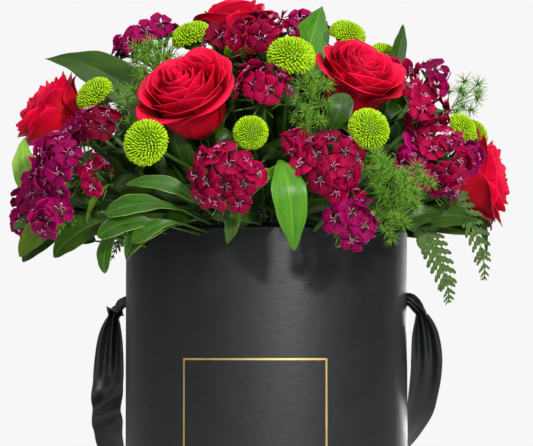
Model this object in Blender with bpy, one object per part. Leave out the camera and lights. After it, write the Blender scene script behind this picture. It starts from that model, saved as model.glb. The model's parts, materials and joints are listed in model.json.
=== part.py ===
"""Flower box: a round paper-covered box with a ribbon handle and a domed flower arrangement.

Metres, +Z up, origin at the middle of the foot. The foil frame faces -Y and the ribbon's
holes are at +X and -X. Every flower is a head on a stem that points at a common centre.
"""

from math import cos, pi, radians, sin

import bmesh
import bpy
from mathutils import Matrix, Vector

# The box
BOX_RADIUS = 0.110
BOX_HEIGHT = 0.250
BOARD = 0.0025
PAPER = 0.0005
GAP = 0.0003
RIM_HEM = 0.018
FOOT_HEM = 0.012
LINING_DROP = 0.005
WALL_SIDES = 40

# The foil frame on the front
FRAME_SIDE = 0.1133
FRAME_TOP = 0.152
FRAME_LINE = 0.0015
FOIL = 0.00015

# The ribbon handle
HOLE_HEIGHT = 0.197
HOLE_RADIUS = 0.006
NECK_RADIUS = 0.0043
KNOT_RADIUS = 0.0072
RIBBON_WIDTH = 0.025
RIBBON_THICKNESS = 0.0008

# The film cup and the foam
FOAM_RADIUS = 0.088
FOAM_TOP = 0.276
FOAM_SHOULDER = 0.256
FOAM_SPLIT = 0.165
FILM = 0.0005
FILM_TOP = 0.2535
FILM_FLARE = 0.007

# The arrangement: where the stems point, and how far in they reach
HIGH_CENTRE = Vector((0, 0, 0.212))
LOW_CENTRE = Vector((0, 0, 0.266))
LOW_BELOW = 34
ROOT_HIGH = 0.038
ROOT_LOW = 0.052
STEM_SIDES = 6

# Azimuth from the front (towards +X is positive) and elevation in degrees, the distance
# of the head's middle from the high centre, and the head's radius.
ROSES = [
    (-21, 46, 0.189, 0.036),
    (42, 52, 0.190, 0.033),
    (-82, 38, 0.212, 0.032),
    (92, 25, 0.184, 0.033),
    (-123, 81, 0.205, 0.030),
    (148, 37, 0.188, 0.034),
    (-148, 36, 0.188, 0.034),
]
BUTTONS = [
    (-25, 29, 0.202, 0.0175),
    (-59, 44, 0.203, 0.0155),
    (1, 33, 0.192, 0.0130),
    (31, 32, 0.203, 0.0160),
    (14, 54, 0.204, 0.0185),
    (-57, 71, 0.200, 0.0165),
    (53, 66, 0.206, 0.0145),
    (-23, 66, 0.187, 0.0100),
    (71, 35, 0.200, 0.0130),
    (105, 35, 0.206, 0.0120),
    (107, 62, 0.204, 0.0120),
    (172, 26, 0.198, 0.0165),
]
CLUSTERS = [
    (-54, 26, 0.195, 0.026),
    (-76, 16, 0.185, 0.024),
    (-42, 34, 0.199, 0.015),
    (-85, 63, 0.211, 0.026),
    (0, 68, 0.203, 0.020),
    (4, 45, 0.197, 0.021),
    (-4, 21, 0.193, 0.025),
    (20, 25, 0.191, 0.024),
    (25, 12, 0.183, 0.018),
    (55, 39, 0.200, 0.020),
    (51, 26, 0.196, 0.023),
    (95, 82, 0.205, 0.020),
    (125, 22, 0.188, 0.028),
    (-170, 46, 0.192, 0.030),
    (-122, 24, 0.190, 0.027),
]
TUFTS = [
    (-41, 53, 0.205, 0.013),
    (18, 41, 0.208, 0.012),
    (35, 18, 0.206, 0.012),
    (99, 43, 0.214, 0.013),
    (-117, 52, 0.200, 0.015),
]
# Leaves and fronds: azimuth and elevation where the stem leaves the flowers, then of the
# bend and of the tip, each with its distance, and the widest half width.
LEAVES = {
    "leaf_top_left": ((-50, 50, 0.150), (-64, 54, 0.210), (-82, 45, 0.246), 0.020),
    "leaf_front": ((8, 25, 0.160), (9, 31, 0.264), (12, 8, 0.178), 0.016),
    "leaf_top": ((24, 60, 0.150), (38, 72, 0.195), (66, 77, 0.219), 0.013),
    "leaf_right_top": ((64, 51, 0.150), (72, 56, 0.200), (93, 62, 0.228), 0.009),
    "leaf_left": ((-94, 24, 0.150), (-92, 25, 0.190), (-88, 26, 0.212), 0.010),
    "leaf_front_left": ((-20, 17.5, 0.140), (-27, 13, 0.188), (-33, 4, 0.168), 0.012),
    "leaf_low_left": ((-64, 18, 0.140), (-65, 15, 0.180), (-70, 4, 0.194), 0.012),
    "leaf_back": ((-172, 18, 0.140), (-172, 16, 0.190), (-172, 8, 0.200), 0.014),
    "fern_front_right": ((50, 18, 0.140), (57, 20, 0.190), (74, -6, 0.150), 0.012),
    "fern_right": ((79, 18, 0.140), (81, 20, 0.190), (88, 0, 0.170), 0.011),
    "fern_back": ((-135, 18, 0.140), (-134, 18, 0.185), (-133, 6, 0.195), 0.013),
}

# Distance along the stem from the head's middle, and radius, as parts of the head's radius
ROSE_PROFILE = [
    (-0.82, 0.16),
    (-0.72, 0.36),
    (-0.45, 0.70),
    (-0.10, 0.93),
    (0.20, 1.00),
    (0.42, 0.90),
    (0.58, 0.66),
    (0.66, 0.30),
]
BUTTON_PROFILE = [
    (-0.62, 0.22),
    (-0.55, 0.72),
    (-0.15, 1.00),
    (0.25, 0.94),
    (0.55, 0.66),
    (0.70, 0.25),
]
CLUSTER_PROFILE = [
    (-0.85, 0.16),
    (-0.45, 0.62),
    (-0.10, 0.94),
    (0.20, 1.00),
    (0.45, 0.84),
    (0.62, 0.50),
    (0.68, 0.18),
]
TUFT_PROFILE = [
    (-1.60, 0.20),
    (-0.90, 0.80),
    (0.00, 1.00),
    (0.90, 0.70),
    (1.50, 0.20),
]

# Colour, roughness and metallic value of each finish
FINISHES = {
    "board": ((0.45, 0.36, 0.26), 0.9, 0.0),
    "black_paper": ((0.012, 0.013, 0.013), 0.42, 0.0),
    "lining_paper": ((0.02, 0.02, 0.02), 0.8, 0.0),
    "gold_foil": ((0.62, 0.46, 0.18), 0.32, 1.0),
    "satin_ribbon": ((0.018, 0.021, 0.022), 0.38, 0.0),
    "film": ((0.75, 0.78, 0.76), 0.1, 0.0),
    "floral_foam": ((0.03, 0.08, 0.03), 0.95, 0.0),
    "rose": ((0.55, 0.0, 0.012), 0.5, 0.0),
    "button_flower": ((0.25, 0.50, 0.02), 0.7, 0.0),
    "sweet_william": ((0.36, 0.0, 0.08), 0.6, 0.0),
    "leaf": ((0.05, 0.16, 0.02), 0.4, 0.0),
    "fern": ((0.03, 0.11, 0.02), 0.6, 0.0),
}


def finish(name):
    """The named finish, made the first time it is asked for."""
    if name in bpy.data.materials:
        return bpy.data.materials[name]
    colour, roughness, metallic = FINISHES[name]
    material = bpy.data.materials.new(name)
    material.use_nodes = True
    shader = material.node_tree.nodes["Principled BSDF"]
    shader.inputs["Base Color"].default_value = (*colour, 1)
    shader.inputs["Roughness"].default_value = roughness
    shader.inputs["Metallic"].default_value = metallic
    material.diffuse_color = (*colour, 1)
    return material


def add_object(name, bm, material=None, smooth=True):
    """The bmesh as a named object of one finish, or as a hidden cutter if it has none."""
    bmesh.ops.recalc_face_normals(bm, faces=bm.faces)
    mesh = bpy.data.meshes.new(name)
    bm.to_mesh(mesh)
    bm.free()
    obj = bpy.data.objects.new(name, mesh)
    bpy.context.scene.collection.objects.link(obj)
    if material:
        mesh.materials.append(finish(material))
        if smooth:
            mesh.shade_smooth()
            mesh.set_sharp_from_angle(angle=radians(35))
    else:
        obj.hide_render = True
        obj.display_type = "WIRE"
    return obj


def parent_empty(name, location=(0, 0, 0)):
    empty = bpy.data.objects.new(name, None)
    empty.location = location
    bpy.context.scene.collection.objects.link(empty)
    return empty


def attach(obj, empty):
    """Parent an object whose mesh is in world space, keeping it where it is."""
    obj.parent = empty
    obj.matrix_parent_inverse = Matrix.Translation(empty.location).inverted()


def cut(obj, cutter):
    modifier = obj.modifiers.new("cut", "BOOLEAN")
    modifier.operation = "DIFFERENCE"
    modifier.solver = "EXACT"
    modifier.object = cutter


def turned(profile, sides=WALL_SIDES):
    """A closed (radius, height) outline spun once round the Z axis."""
    bm = bmesh.new()
    verts = [bm.verts.new((r, 0, z)) for r, z in profile]
    edges = [bm.edges.new((a, b)) for a, b in zip(verts, verts[1:] + verts[:1])]
    bmesh.ops.spin(
        bm,
        geom=verts + edges,
        cent=(0, 0, 0),
        axis=(0, 0, 1),
        angle=2 * pi,
        steps=sides,
        use_merge=True,
    )
    return bm


def disc(radius, low, high, sides=WALL_SIDES):
    bm = bmesh.new()
    middle = Matrix.Translation((0, 0, (low + high) / 2))
    bmesh.ops.create_cone(
        bm,
        cap_ends=True,
        segments=sides,
        radius1=radius,
        radius2=radius,
        depth=high - low,
        matrix=middle,
    )
    return bm


def loft(bm, rings, sides):
    """A closed skin through elliptical rings, each (centre, half axis, other half axis)."""
    loops = []
    for centre, across, up in rings:
        normal = across.cross(up).normalized()
        place = Matrix.Identity(4)
        for column, vector in enumerate((across, up, normal, centre)):
            for row in range(3):
                place[row][column] = vector[row]
        made = bmesh.ops.create_circle(bm, segments=sides, radius=1, matrix=place)
        loops.append(made["verts"])
    for low, high in zip(loops, loops[1:]):
        for i in range(sides):
            j = (i + 1) % sides
            bm.faces.new((low[i], low[j], high[j], high[i]))
    bm.faces.new(list(reversed(loops[0])))
    bm.faces.new(loops[-1])


def polar(azimuth, elevation, distance):
    """A point by azimuth from the front and elevation, in degrees, from the high centre."""
    a, e = radians(azimuth), radians(elevation)
    return HIGH_CENTRE + distance * Vector((sin(a) * cos(e), -cos(a) * cos(e), sin(e)))


def side_axes(axis):
    """Two unit vectors square to a direction and to each other."""
    across = axis.cross(Vector((0, 0, 1)))
    if across.length < 0.05:
        across = Vector((1, 0, 0))
    across.normalize()
    return across, axis.cross(across).normalized()


def stem_root(azimuth, elevation, head):
    """Where a stem ends in the foam, and its direction, for a head's middle."""
    low = elevation < LOW_BELOW
    axis = (head - (LOW_CENTRE if low else HIGH_CENTRE)).normalized()
    root = LOW_CENTRE + axis * ROOT_LOW if low else HIGH_CENTRE + axis * ROOT_HIGH
    return root, axis


def pocket(holes, root, axis, radius):
    """Add a stem's hole in the foam to the cutter."""
    across, up = side_axes(axis)
    wide = (radius + GAP) / cos(pi / STEM_SIDES)
    ends = (root - axis * GAP, root + axis * 0.09)
    loft(holes, [(end, across * wide, up * wide) for end in ends], STEM_SIDES)


def flower(name, place, profile, stem, sides, material, holes):
    """A turned head on a straight stem that ends in the foam."""
    azimuth, elevation, distance, radius = place
    head = polar(azimuth, elevation, distance)
    root, axis = stem_root(azimuth, elevation, head)
    across, up = side_axes(axis)
    steps = [(root, stem), (head + axis * (profile[0][0] - 0.25) * radius, stem)]
    steps += [(head + axis * s * radius, r * radius) for s, r in profile]
    bm = bmesh.new()
    loft(bm, [(point, across * r, up * r) for point, r in steps], sides)
    pocket(holes, root, axis, stem)
    return add_object(name, bm, material)


def curve_point(points, t):
    """A point on the quadratic curve that starts, bends and ends at three points."""
    a, b, c = points
    return a * (1 - t) ** 2 + b * 2 * t * (1 - t) + c * t**2


def blade(name, start, bend, tip, half_width, material, holes):
    """A leaf or a frond: a straight stem out of the foam, then a thin curved blade."""
    stem, thick, stations = 0.0011, 0.0010, 9
    neck = polar(*start)
    root, axis = stem_root(0, start[1], neck)
    points = (neck, polar(*bend), polar(*tip))
    across, up = side_axes(axis)
    rings = [(root, across * stem, up * stem), (neck, across * stem, up * stem)]
    for k in range(1, stations + 1):
        t = k / stations
        ahead = (curve_point(points, t) - curve_point(points, t - 0.02)).normalized()
        across = (across - ahead * across.dot(ahead)).normalized()
        up = ahead.cross(across)
        wide = max(half_width * sin(pi * min(t, 0.97)) ** 0.7, stem)
        rings.append((curve_point(points, t), across * wide, up * thick))
    bm = bmesh.new()
    loft(bm, rings, 6)
    pocket(holes, root, axis, stem)
    return add_object(name, bm, material)


def box_parts():
    """The board tube, its papers, its base and the foil frame."""
    wall_out = BOX_RADIUS - PAPER - GAP
    wall_in = wall_out - BOARD
    hem_out = wall_in - GAP
    hem_in = hem_out - PAPER
    lining_out = hem_in - GAP
    low, top = PAPER + GAP, BOX_HEIGHT - PAPER - GAP
    outside = BOX_RADIUS - PAPER
    foot = BOX_RADIUS - FOOT_HEM

    wall = turned([(wall_in, low), (wall_out, low), (wall_out, top), (wall_in, top)])
    cover = turned(
        [
            (foot, 0),
            (BOX_RADIUS, 0),
            (BOX_RADIUS, BOX_HEIGHT),
            (hem_in, BOX_HEIGHT),
            (hem_in, BOX_HEIGHT - RIM_HEM),
            (hem_out, BOX_HEIGHT - RIM_HEM),
            (hem_out, BOX_HEIGHT - PAPER),
            (outside, BOX_HEIGHT - PAPER),
            (outside, PAPER),
            (foot, PAPER),
        ]
    )
    floor = low + BOARD + GAP
    lining_top = BOX_HEIGHT - LINING_DROP
    lining_in = lining_out - PAPER
    lining = turned(
        [
            (lining_in, floor),
            (lining_out, floor),
            (lining_out, lining_top),
            (lining_in, lining_top),
        ]
    )
    holes = bmesh.new()
    across_x = Matrix.Translation((0, 0, HOLE_HEIGHT)) @ Matrix.Rotation(pi / 2, 4, "Y")
    bmesh.ops.create_cone(
        holes,
        cap_ends=True,
        segments=14,
        radius1=HOLE_RADIUS,
        radius2=HOLE_RADIUS,
        depth=BOX_RADIUS * 2.5,
        matrix=across_x,
    )
    hole_cutter = add_object("ribbon_hole_cutter", holes)
    walls = [
        add_object("box_wall", wall, "board"),
        add_object("wall_cover", cover, "black_paper"),
        add_object("wall_lining", lining, "lining_paper"),
    ]
    for obj in walls:
        cut(obj, hole_cutter)
    walls.append(add_object("base_board", disc(hem_out, low, low + BOARD), "board"))
    walls.append(add_object("base_paper", disc(foot - GAP, 0, PAPER), "black_paper"))
    walls.append(foil_frame())
    return walls, floor


def foil_frame():
    """A rectangular line of foil that follows the round wall."""
    inner = BOX_RADIUS + GAP
    outer = inner + FOIL
    half_angle = FRAME_SIDE / 2 / BOX_RADIUS
    line_angle = FRAME_LINE / BOX_RADIUS
    bottom = FRAME_TOP - FRAME_SIDE
    steps = 14
    inner_half = half_angle - line_angle
    angles = [-half_angle] + [
        -inner_half + 2 * inner_half * k / steps for k in range(steps + 1)
    ] + [half_angle]
    heights = [bottom, bottom + FRAME_LINE, FRAME_TOP - FRAME_LINE, FRAME_TOP]
    bm = bmesh.new()
    grid = {}
    for i, a in enumerate(angles):
        for j, z in enumerate(heights):
            grid[i, j] = bm.verts.new((inner * sin(a), -inner * cos(a), z))
    last = len(angles) - 2
    for i in range(len(angles) - 1):
        for j in range(len(heights) - 1):
            if 0 < i < last and j == 1:
                continue
            bm.faces.new((grid[i, j], grid[i + 1, j], grid[i + 1, j + 1], grid[i, j + 1]))
    skin = bmesh.ops.extrude_face_region(bm, geom=bm.faces[:])
    for vert in (v for v in skin["geom"] if isinstance(v, bmesh.types.BMVert)):
        vert.co.xy *= outer / inner
    return add_object("foil_frame", bm, "gold_foil", smooth=False)


def ribbon_handle():
    """One ribbon from knot to knot: through a side hole, down, and round behind the box."""
    up = Vector((0, 0, 1))
    along = Vector((1, 0, 0))
    level = Vector((0, 1, 0))
    knot_at = BOX_RADIUS - 0.0115
    # The middle line of each fall, from the hole to behind the box, then how far the
    # ribbon's width has turned from pointing outwards to standing upright.
    right = [
        (0.1205, 0.003, 0.1875, 0.30, 5),
        (0.1235, 0.008, 0.172, 0.80, 5),
        (0.1245, 0.014, 0.150, 1.0, 5),
        (0.1215, 0.029, 0.125, 1.0, 10),
        (0.1140, 0.055, 0.098, 1.0, 25),
        (0.0960, 0.086, 0.070, 1.0, 45),
        (0.0600, 0.116, 0.046, 1.0, 60),
    ]
    left = [
        (-0.1205, 0.003, 0.1875, 0.30, 5),
        (-0.1240, 0.007, 0.168, 0.80, 5),
        (-0.1260, 0.011, 0.138, 1.0, 5),
        (-0.1280, 0.018, 0.104, 1.0, 8),
        (-0.1240, 0.044, 0.068, 1.0, 25),
        (-0.1020, 0.082, 0.044, 1.0, 45),
        (-0.0600, 0.116, 0.034, 1.0, 60),
    ]
    strip = smooth(left + [(0.0, 0.1335, 0.034, 1.0, 65)] + list(reversed(right)), 4)
    middle = [Vector(p[:3]) for p in strip]
    rings = []
    for side, ends in ((-1, range(5)), (1, reversed(range(5)))):
        part = []
        for k in ends:
            reach = (knot_at - 0.005, knot_at - 0.003, knot_at + 0.002, knot_at + 0.004)
            x = (*reach, BOX_RADIUS + 0.0035)[k]
            r = (0.4, 1.0, 1.0, NECK_RADIUS / KNOT_RADIUS, NECK_RADIUS / KNOT_RADIUS)[k]
            centre = Vector((side * x, 0, HOLE_HEIGHT))
            part.append((centre, level * r * KNOT_RADIUS, up * r * KNOT_RADIUS))
        rings.append(part)
    body = []
    for k, (x, y, z, share, turn) in enumerate(strip):
        ahead = middle[min(k + 1, len(strip) - 1)] - middle[max(k - 1, 0)]
        ahead.normalize()
        outwards = Vector((x, y, 0)).normalized()
        wide = outwards * cos(radians(turn)) + up * sin(radians(turn))
        wide = (wide - ahead * wide.dot(ahead)).normalized()
        thin = ahead.cross(wide).normalized()
        thickness = RIBBON_THICKNESS + (1 - share) * 0.004
        body.append((middle[k], wide, thin, share * RIBBON_WIDTH / 2, thickness / 2))
    rows = [(c, w * a, t * b) for c, w, t, a, b in body]
    bm = bmesh.new()
    loft(bm, align(rings[0] + rows + rings[1]), 8)
    return add_object("ribbon_handle", bm, "satin_ribbon")


def smooth(stations, steps):
    """The same stations with more between them, on a smooth curve through them all."""
    made = []
    last = len(stations) - 1
    for k in range(last):
        four = [stations[min(max(k + j, 0), last)] for j in (-1, 0, 1, 2)]
        for step in range(steps):
            t = step / steps
            made.append(
                tuple(
                    b + t * (c - a) / 2
                    + t**2 * (a - 2.5 * b + 2 * c - d / 2)
                    + t**3 * (1.5 * b - a / 2 - 1.5 * c + d / 2)
                    for a, b, c, d in zip(*four)
                )
            )
    return made + [stations[last]]


def align(rings):
    """Face every ring along the line of centres, its first point following the ring before."""
    centres = [centre for centre, a, b in rings]
    done = []
    for k, (centre, a, b) in enumerate(rings):
        ahead = centres[min(k + 1, len(rings) - 1)] - centres[max(k - 1, 0)]
        if a.cross(b).dot(ahead) < 0:
            b = -b
        if done:
            before = done[-1][1].normalized()
            turns = [(a, b), (b, -a), (-a, -b), (-b, a)]
            a, b = max(turns, key=lambda turn: turn[0].normalized().dot(before))
        done.append((centre, a, b))
    return done


def liner_and_foam(floor, holes):
    """The film cup with its loose upper edge, and the two blocks of foam in it."""
    cup_in = FOAM_RADIUS + GAP
    cup_out = cup_in + FILM
    bottom = floor + GAP
    flare = FILM_TOP - 0.018
    film = turned(
        [
            (0.0, bottom),
            (cup_out, bottom),
            (cup_out, flare),
            (cup_out + FILM_FLARE, FILM_TOP),
            (cup_in + FILM_FLARE, FILM_TOP),
            (cup_in, flare),
            (cup_in, bottom + FILM),
            (0.0, bottom + FILM),
        ],
        36,
    )
    bmesh.ops.remove_doubles(film, verts=film.verts, dist=1e-6)
    seat = bottom + FILM + GAP
    lower = disc(FOAM_RADIUS, seat, FOAM_SPLIT, 36)
    upper = turned(
        [
            (0.0, FOAM_SPLIT + GAP),
            (FOAM_RADIUS, FOAM_SPLIT + GAP),
            (FOAM_RADIUS, FOAM_SHOULDER),
            (FOAM_RADIUS - 0.006, FOAM_TOP - 0.006),
            (FOAM_RADIUS - 0.022, FOAM_TOP),
            (0.0, FOAM_TOP),
        ],
        36,
    )
    bmesh.ops.remove_doubles(upper, verts=upper.verts, dist=1e-6)
    upper_foam = add_object("foam_upper", upper, "floral_foam")
    cut(upper_foam, add_object("stem_hole_cutter", holes))
    return [
        add_object("film_liner", film, "film"),
        add_object("foam_lower", lower, "floral_foam"),
        upper_foam,
    ]


def plants(holes):
    """Every flower, leaf and frond, each one piece with its stem."""
    kinds = [
        ("rose_{}", ROSES, ROSE_PROFILE, 0.0024, 10, "rose"),
        ("button_chrysanthemum_{:02d}", BUTTONS, BUTTON_PROFILE, 0.0013, 8, "button_flower"),
        ("sweet_william_{:02d}", CLUSTERS, CLUSTER_PROFILE, 0.0015, 8, "sweet_william"),
        ("asparagus_sprig_{}", TUFTS, TUFT_PROFILE, 0.0010, 8, "fern"),
    ]
    made = []
    for pattern, places, profile, stem, sides, material in kinds:
        for k, place in enumerate(places, 1):
            name = pattern.format(k)
            made.append(flower(name, place, profile, stem, sides, material, holes))
    for name, (start, bend, tip, half_width) in LEAVES.items():
        material = "fern" if name.startswith("fern") else "leaf"
        made.append(blade(name, start, bend, tip, half_width, material, holes))
    return made


def main():
    for obj in list(bpy.data.objects):
        bpy.data.objects.remove(obj, do_unlink=True)
    box, floor = box_parts()
    stem_holes = bmesh.new()
    arrangement = plants(stem_holes)
    arrangement += liner_and_foam(floor, stem_holes)
    groups = {
        parent_empty("box"): box,
        parent_empty("arrangement"): arrangement,
        parent_empty("handle", (0, 0, HOLE_HEIGHT)): [ribbon_handle()],
    }
    for empty, pieces in groups.items():
        for piece in pieces:
            attach(piece, empty)


main()
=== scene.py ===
"""Flower box looks: the papers, foil, ribbon, film, foam, flowers, leaves and fronds of a
round flower box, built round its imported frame.

Metres, +Z up. The foil frame faces -Y and the ribbon comes out at +X and -X. Every stem
points at a common centre in the foam, and each new piece stands where its frame node does.
"""

import json
import random
from math import acos, cos, pi, radians, sin, sqrt

import bmesh
import bpy
from mathutils import Matrix, Vector, noise


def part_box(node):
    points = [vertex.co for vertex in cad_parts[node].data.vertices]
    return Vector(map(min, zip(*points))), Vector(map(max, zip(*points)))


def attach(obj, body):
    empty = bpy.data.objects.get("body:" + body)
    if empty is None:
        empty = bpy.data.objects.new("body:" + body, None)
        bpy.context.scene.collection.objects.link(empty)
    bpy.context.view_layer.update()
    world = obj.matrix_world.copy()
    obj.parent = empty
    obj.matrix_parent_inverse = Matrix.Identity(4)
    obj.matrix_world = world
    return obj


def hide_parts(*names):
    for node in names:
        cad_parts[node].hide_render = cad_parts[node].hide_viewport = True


bl_info = {
    "name": "Flower box",
    "version": (1, 0, 0),
    "blender": (4, 5, 0),
    "location": "View3D > Sidebar > Flower box",
    "description": "Builds the papers, ribbon, foam, flowers and leaves of a round flower box",
    "category": "Object",
}

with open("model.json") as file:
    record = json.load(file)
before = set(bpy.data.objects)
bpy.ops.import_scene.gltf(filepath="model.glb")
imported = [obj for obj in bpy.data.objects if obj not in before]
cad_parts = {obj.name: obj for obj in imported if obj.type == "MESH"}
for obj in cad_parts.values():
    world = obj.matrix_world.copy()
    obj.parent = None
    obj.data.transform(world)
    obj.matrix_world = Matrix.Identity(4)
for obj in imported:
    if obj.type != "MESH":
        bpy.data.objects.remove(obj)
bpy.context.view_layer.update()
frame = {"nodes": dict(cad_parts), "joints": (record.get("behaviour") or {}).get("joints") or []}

COVER_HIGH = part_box("wall_cover")[1]
BOX_RADIUS = COVER_HIGH.y
BOX_HEIGHT = COVER_HIGH.z
LINING_LOW, LINING_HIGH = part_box("wall_lining")
FOIL_LOW, FOIL_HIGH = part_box("foil_frame")
FILM_LOW, FILM_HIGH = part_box("film_liner")
HOLE_HEIGHT = next(j["pos_m"][2] for j in frame["joints"] if j["name"] == "handle_swing")
# Every stem of the frame starts near the heart; flower places are polar from the high centre.
HEART = Vector((0, 0, 0.235))
HIGH_CENTRE = Vector((0, 0, 0.212))
GOLDEN = pi * (3 - sqrt(5))
HOLE_RADIUS = 0.006
LINING_THICK = 0.0005
LEAF_THICK = 0.0004
FLORET_THICK = 0.00022


# ---------------------------------------------------------------- small geometry helpers


def tone(red, green, blue):
    """A screen colour from 0 to 255 as the linear colour that a shader takes."""
    parts = [part / 255 for part in (red, green, blue)]
    return tuple(p / 12.92 if p <= 0.04045 else ((p + 0.055) / 1.055) ** 2.4 for p in parts)


def ease(low, high, x):
    """0 below low, 1 above high, and smooth between them."""
    t = min(max((x - low) / (high - low), 0), 1)
    return t * t * (3 - 2 * t)


def along_table(table, x):
    """The value at x of a smooth line through (place, value) pairs."""
    for (x0, y0), (x1, y1) in zip(table, table[1:]):
        if x <= x1:
            return y0 + (y1 - y0) * ease(x0, x1, x)
    return table[-1][1]


def outward(a, e):
    """A unit vector by azimuth from the front and elevation, in radians."""
    return Vector((sin(a) * cos(e), -cos(a) * cos(e), sin(e)))


def polar(azimuth, elevation, distance):
    """A point by azimuth from the front and elevation, in degrees, from the high centre."""
    return HIGH_CENTRE + distance * outward(radians(azimuth), radians(elevation))


def curve_points(a, b, c, steps):
    """Points on a curve that leaves a towards b and ends at c."""
    shares = [k / steps for k in range(steps + 1)]
    return [a * (1 - t) ** 2 + b * 2 * t * (1 - t) + c * t * t for t in shares]


def jitter(dice, size):
    """A small random vector."""
    return Vector([dice.uniform(-size, size) for _ in range(3)])


def side_axes(axis):
    """Two unit vectors square to a direction and to each other."""
    across = axis.cross(Vector((0, 0, 1)))
    if across.length < 0.05:
        across = Vector((1, 0, 0))
    across.normalize()
    return across, axis.cross(across).normalized()


def standing(place, axis, turn=0.0, size=1.0):
    """A matrix that stands a shape's Z along an axis, at a place, turned and sized."""
    axis = axis.normalized()
    across, up = side_axes(axis)
    basis = Matrix((across, -up, axis)).transposed().to_4x4()
    spin = Matrix.Rotation(turn, 4, "Z") @ Matrix.Scale(size, 4)
    return Matrix.Translation(place) @ basis @ spin


def smooth_line(points, count):
    """Evenly numbered points on a smooth curve through all of the given ones."""
    last = len(points) - 1
    made = []
    for step in range(count + 1):
        place = step / count * last
        k = min(int(place), last - 1)
        t = place - k
        a, b, c, d = (points[min(max(k + j, 0), last)] for j in (-1, 0, 1, 2))
        made.append(
            b + t * (c - a) / 2
            + t**2 * (a - 2.5 * b + 2 * c - d / 2)
            + t**3 * (1.5 * b - a / 2 - 1.5 * c + d / 2)
        )
    return made


def carried_axes(points, first):
    """(ahead, sideways) unit vectors at each point, carried forward from the first."""
    across, made = first, []
    for k in range(len(points)):
        ahead = points[min(k + 1, len(points) - 1)] - points[max(k - 1, 0)]
        ahead.normalize()
        across = across - ahead * across.dot(ahead)
        if across.length < 1e-6:
            across = side_axes(ahead)[0]
        across.normalize()
        made.append((ahead, across.copy()))
    return made


def frame_rings(node, near=HEART, reach=0.006):
    """(centre, widest direction, half width) of each ring of a frame loft, from its root."""
    bm = bmesh.new()
    bm.from_mesh(frame["nodes"][node].data)
    bmesh.ops.remove_doubles(bm, verts=bm.verts, dist=1e-5)
    bm.verts.index_update()
    start = min(bm.verts, key=lambda v: (v.co - near).length)
    layer = {v for v in bm.verts if (v.co - start.co).length < reach}
    seen, rings = set(layer), []
    while layer:
        # A set has no order of its own, and the order of a sum changes its last digit.
        points = [v.co.copy() for v in sorted(layer, key=lambda v: v.index)]
        centre = sum(points, Vector()) / len(points)
        pairs = [(a, b) for i, a in enumerate(points) for b in points[i + 1 :]]
        far = max(pairs, key=lambda pair: (pair[0] - pair[1]).length) if pairs else None
        wide = far[0] - far[1] if far else Vector((1, 0, 0))
        rings.append((centre, wide.normalized(), wide.length / 2))
        layer = {e.other_vert(v) for v in layer for e in v.link_edges} - seen
        seen |= layer
    bm.free()
    return rings


def flower_place(node, top_share):
    """The root, the head's middle, the stem's direction and the head's radius."""
    rings = frame_rings(node)
    root, top = rings[0][0], rings[-1][0]
    axis = (top - root).normalized()
    radius = max(ring[2] for ring in rings)
    return root, top - axis * top_share * radius, axis, radius


def new_bmesh():
    """A bmesh with the two layers that the plant materials read."""
    bm = bmesh.new()
    bm.loops.layers.uv.new("place")
    bm.loops.layers.uv.new("tint")
    return bm


def paint(bm, faces, tint):
    """Gives faces a tint of their own."""
    layer = bm.loops.layers.uv["tint"]
    for face in faces:
        for loop in face.loops:
            loop[layer].uv = tint


def faces_of(verts, slot):
    """The faces round the vertices, put in a material slot."""
    faces = {face for vert in verts for face in vert.link_faces}
    for face in faces:
        face.material_index = slot
    return faces


def patch(bm, columns, rows, shape, tint=(0.5, 0.5), slot=0):
    """A grid moved by shape(u, v), with u from -1 to 1 across and v from 0 to 1 along it."""
    place = bm.loops.layers.uv["place"]
    verts = bmesh.ops.create_grid(bm, x_segments=columns, y_segments=rows, size=1)["verts"]
    faces = faces_of(verts, slot)
    paint(bm, faces, tint)
    for face in faces:
        for loop in face.loops:
            loop[place].uv = (loop.vert.co.x / 2 + 0.5, loop.vert.co.y / 2 + 0.5)
    for vert in verts:
        vert.co = shape(vert.co.x, (vert.co.y + 1) / 2)
    return verts


def tube(bm, points, radii, sides=6, tint=(0.5, 0.5), slot=0, rows=None, flat=1.0):
    """A closed tube along points, its radius along it given by (place, radius) pairs."""
    rows = rows or max(len(points) - 1, 3)
    line = smooth_line(points, rows)
    axes = carried_axes(line, side_axes((line[1] - line[0]).normalized())[0])

    def shape(u, v):
        k = min(max(round(v * (rows + 2)) - 1, 0), rows)
        ahead, across = axes[k]
        end = v < 1e-6 or v > 1 - 1e-6
        radius = 0 if end else along_table(radii, k / rows)
        turn = pi * u
        return line[k] + radius * (across * cos(turn) + ahead.cross(across) * sin(turn) * flat)

    verts = patch(bm, sides, rows + 2, shape, tint, slot)
    bmesh.ops.remove_doubles(bm, verts=verts, dist=1e-7)


def stem(bm, a, b, low, high, sides=6, rows=3):
    """A straight stalk from a to b, its radius going from low to high."""
    tube(bm, [a, a.lerp(b, 0.5), b], [(0, low), (1, high)], sides, rows=rows)


def stamp(bm, master, matrix, tint):
    """A copy of a master mesh, put in place, with its own tint."""
    first_vert, first_face = len(bm.verts), len(bm.faces)
    bm.from_mesh(master)
    bm.verts.ensure_lookup_table()
    bm.faces.ensure_lookup_table()
    bmesh.ops.transform(bm, matrix=matrix, verts=bm.verts[first_vert:])
    paint(bm, bm.faces[first_face:], tint)


def mesh_from(name, bm):
    """The bmesh as a mesh. The bmesh is freed."""
    mesh = bpy.data.meshes.new(name)
    bm.to_mesh(mesh)
    bm.free()
    return mesh


def scene_object(name, data):
    """An object for the data, in the scene."""
    obj = bpy.data.objects.new(name, data)
    bpy.context.scene.collection.objects.link(obj)
    return obj


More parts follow.
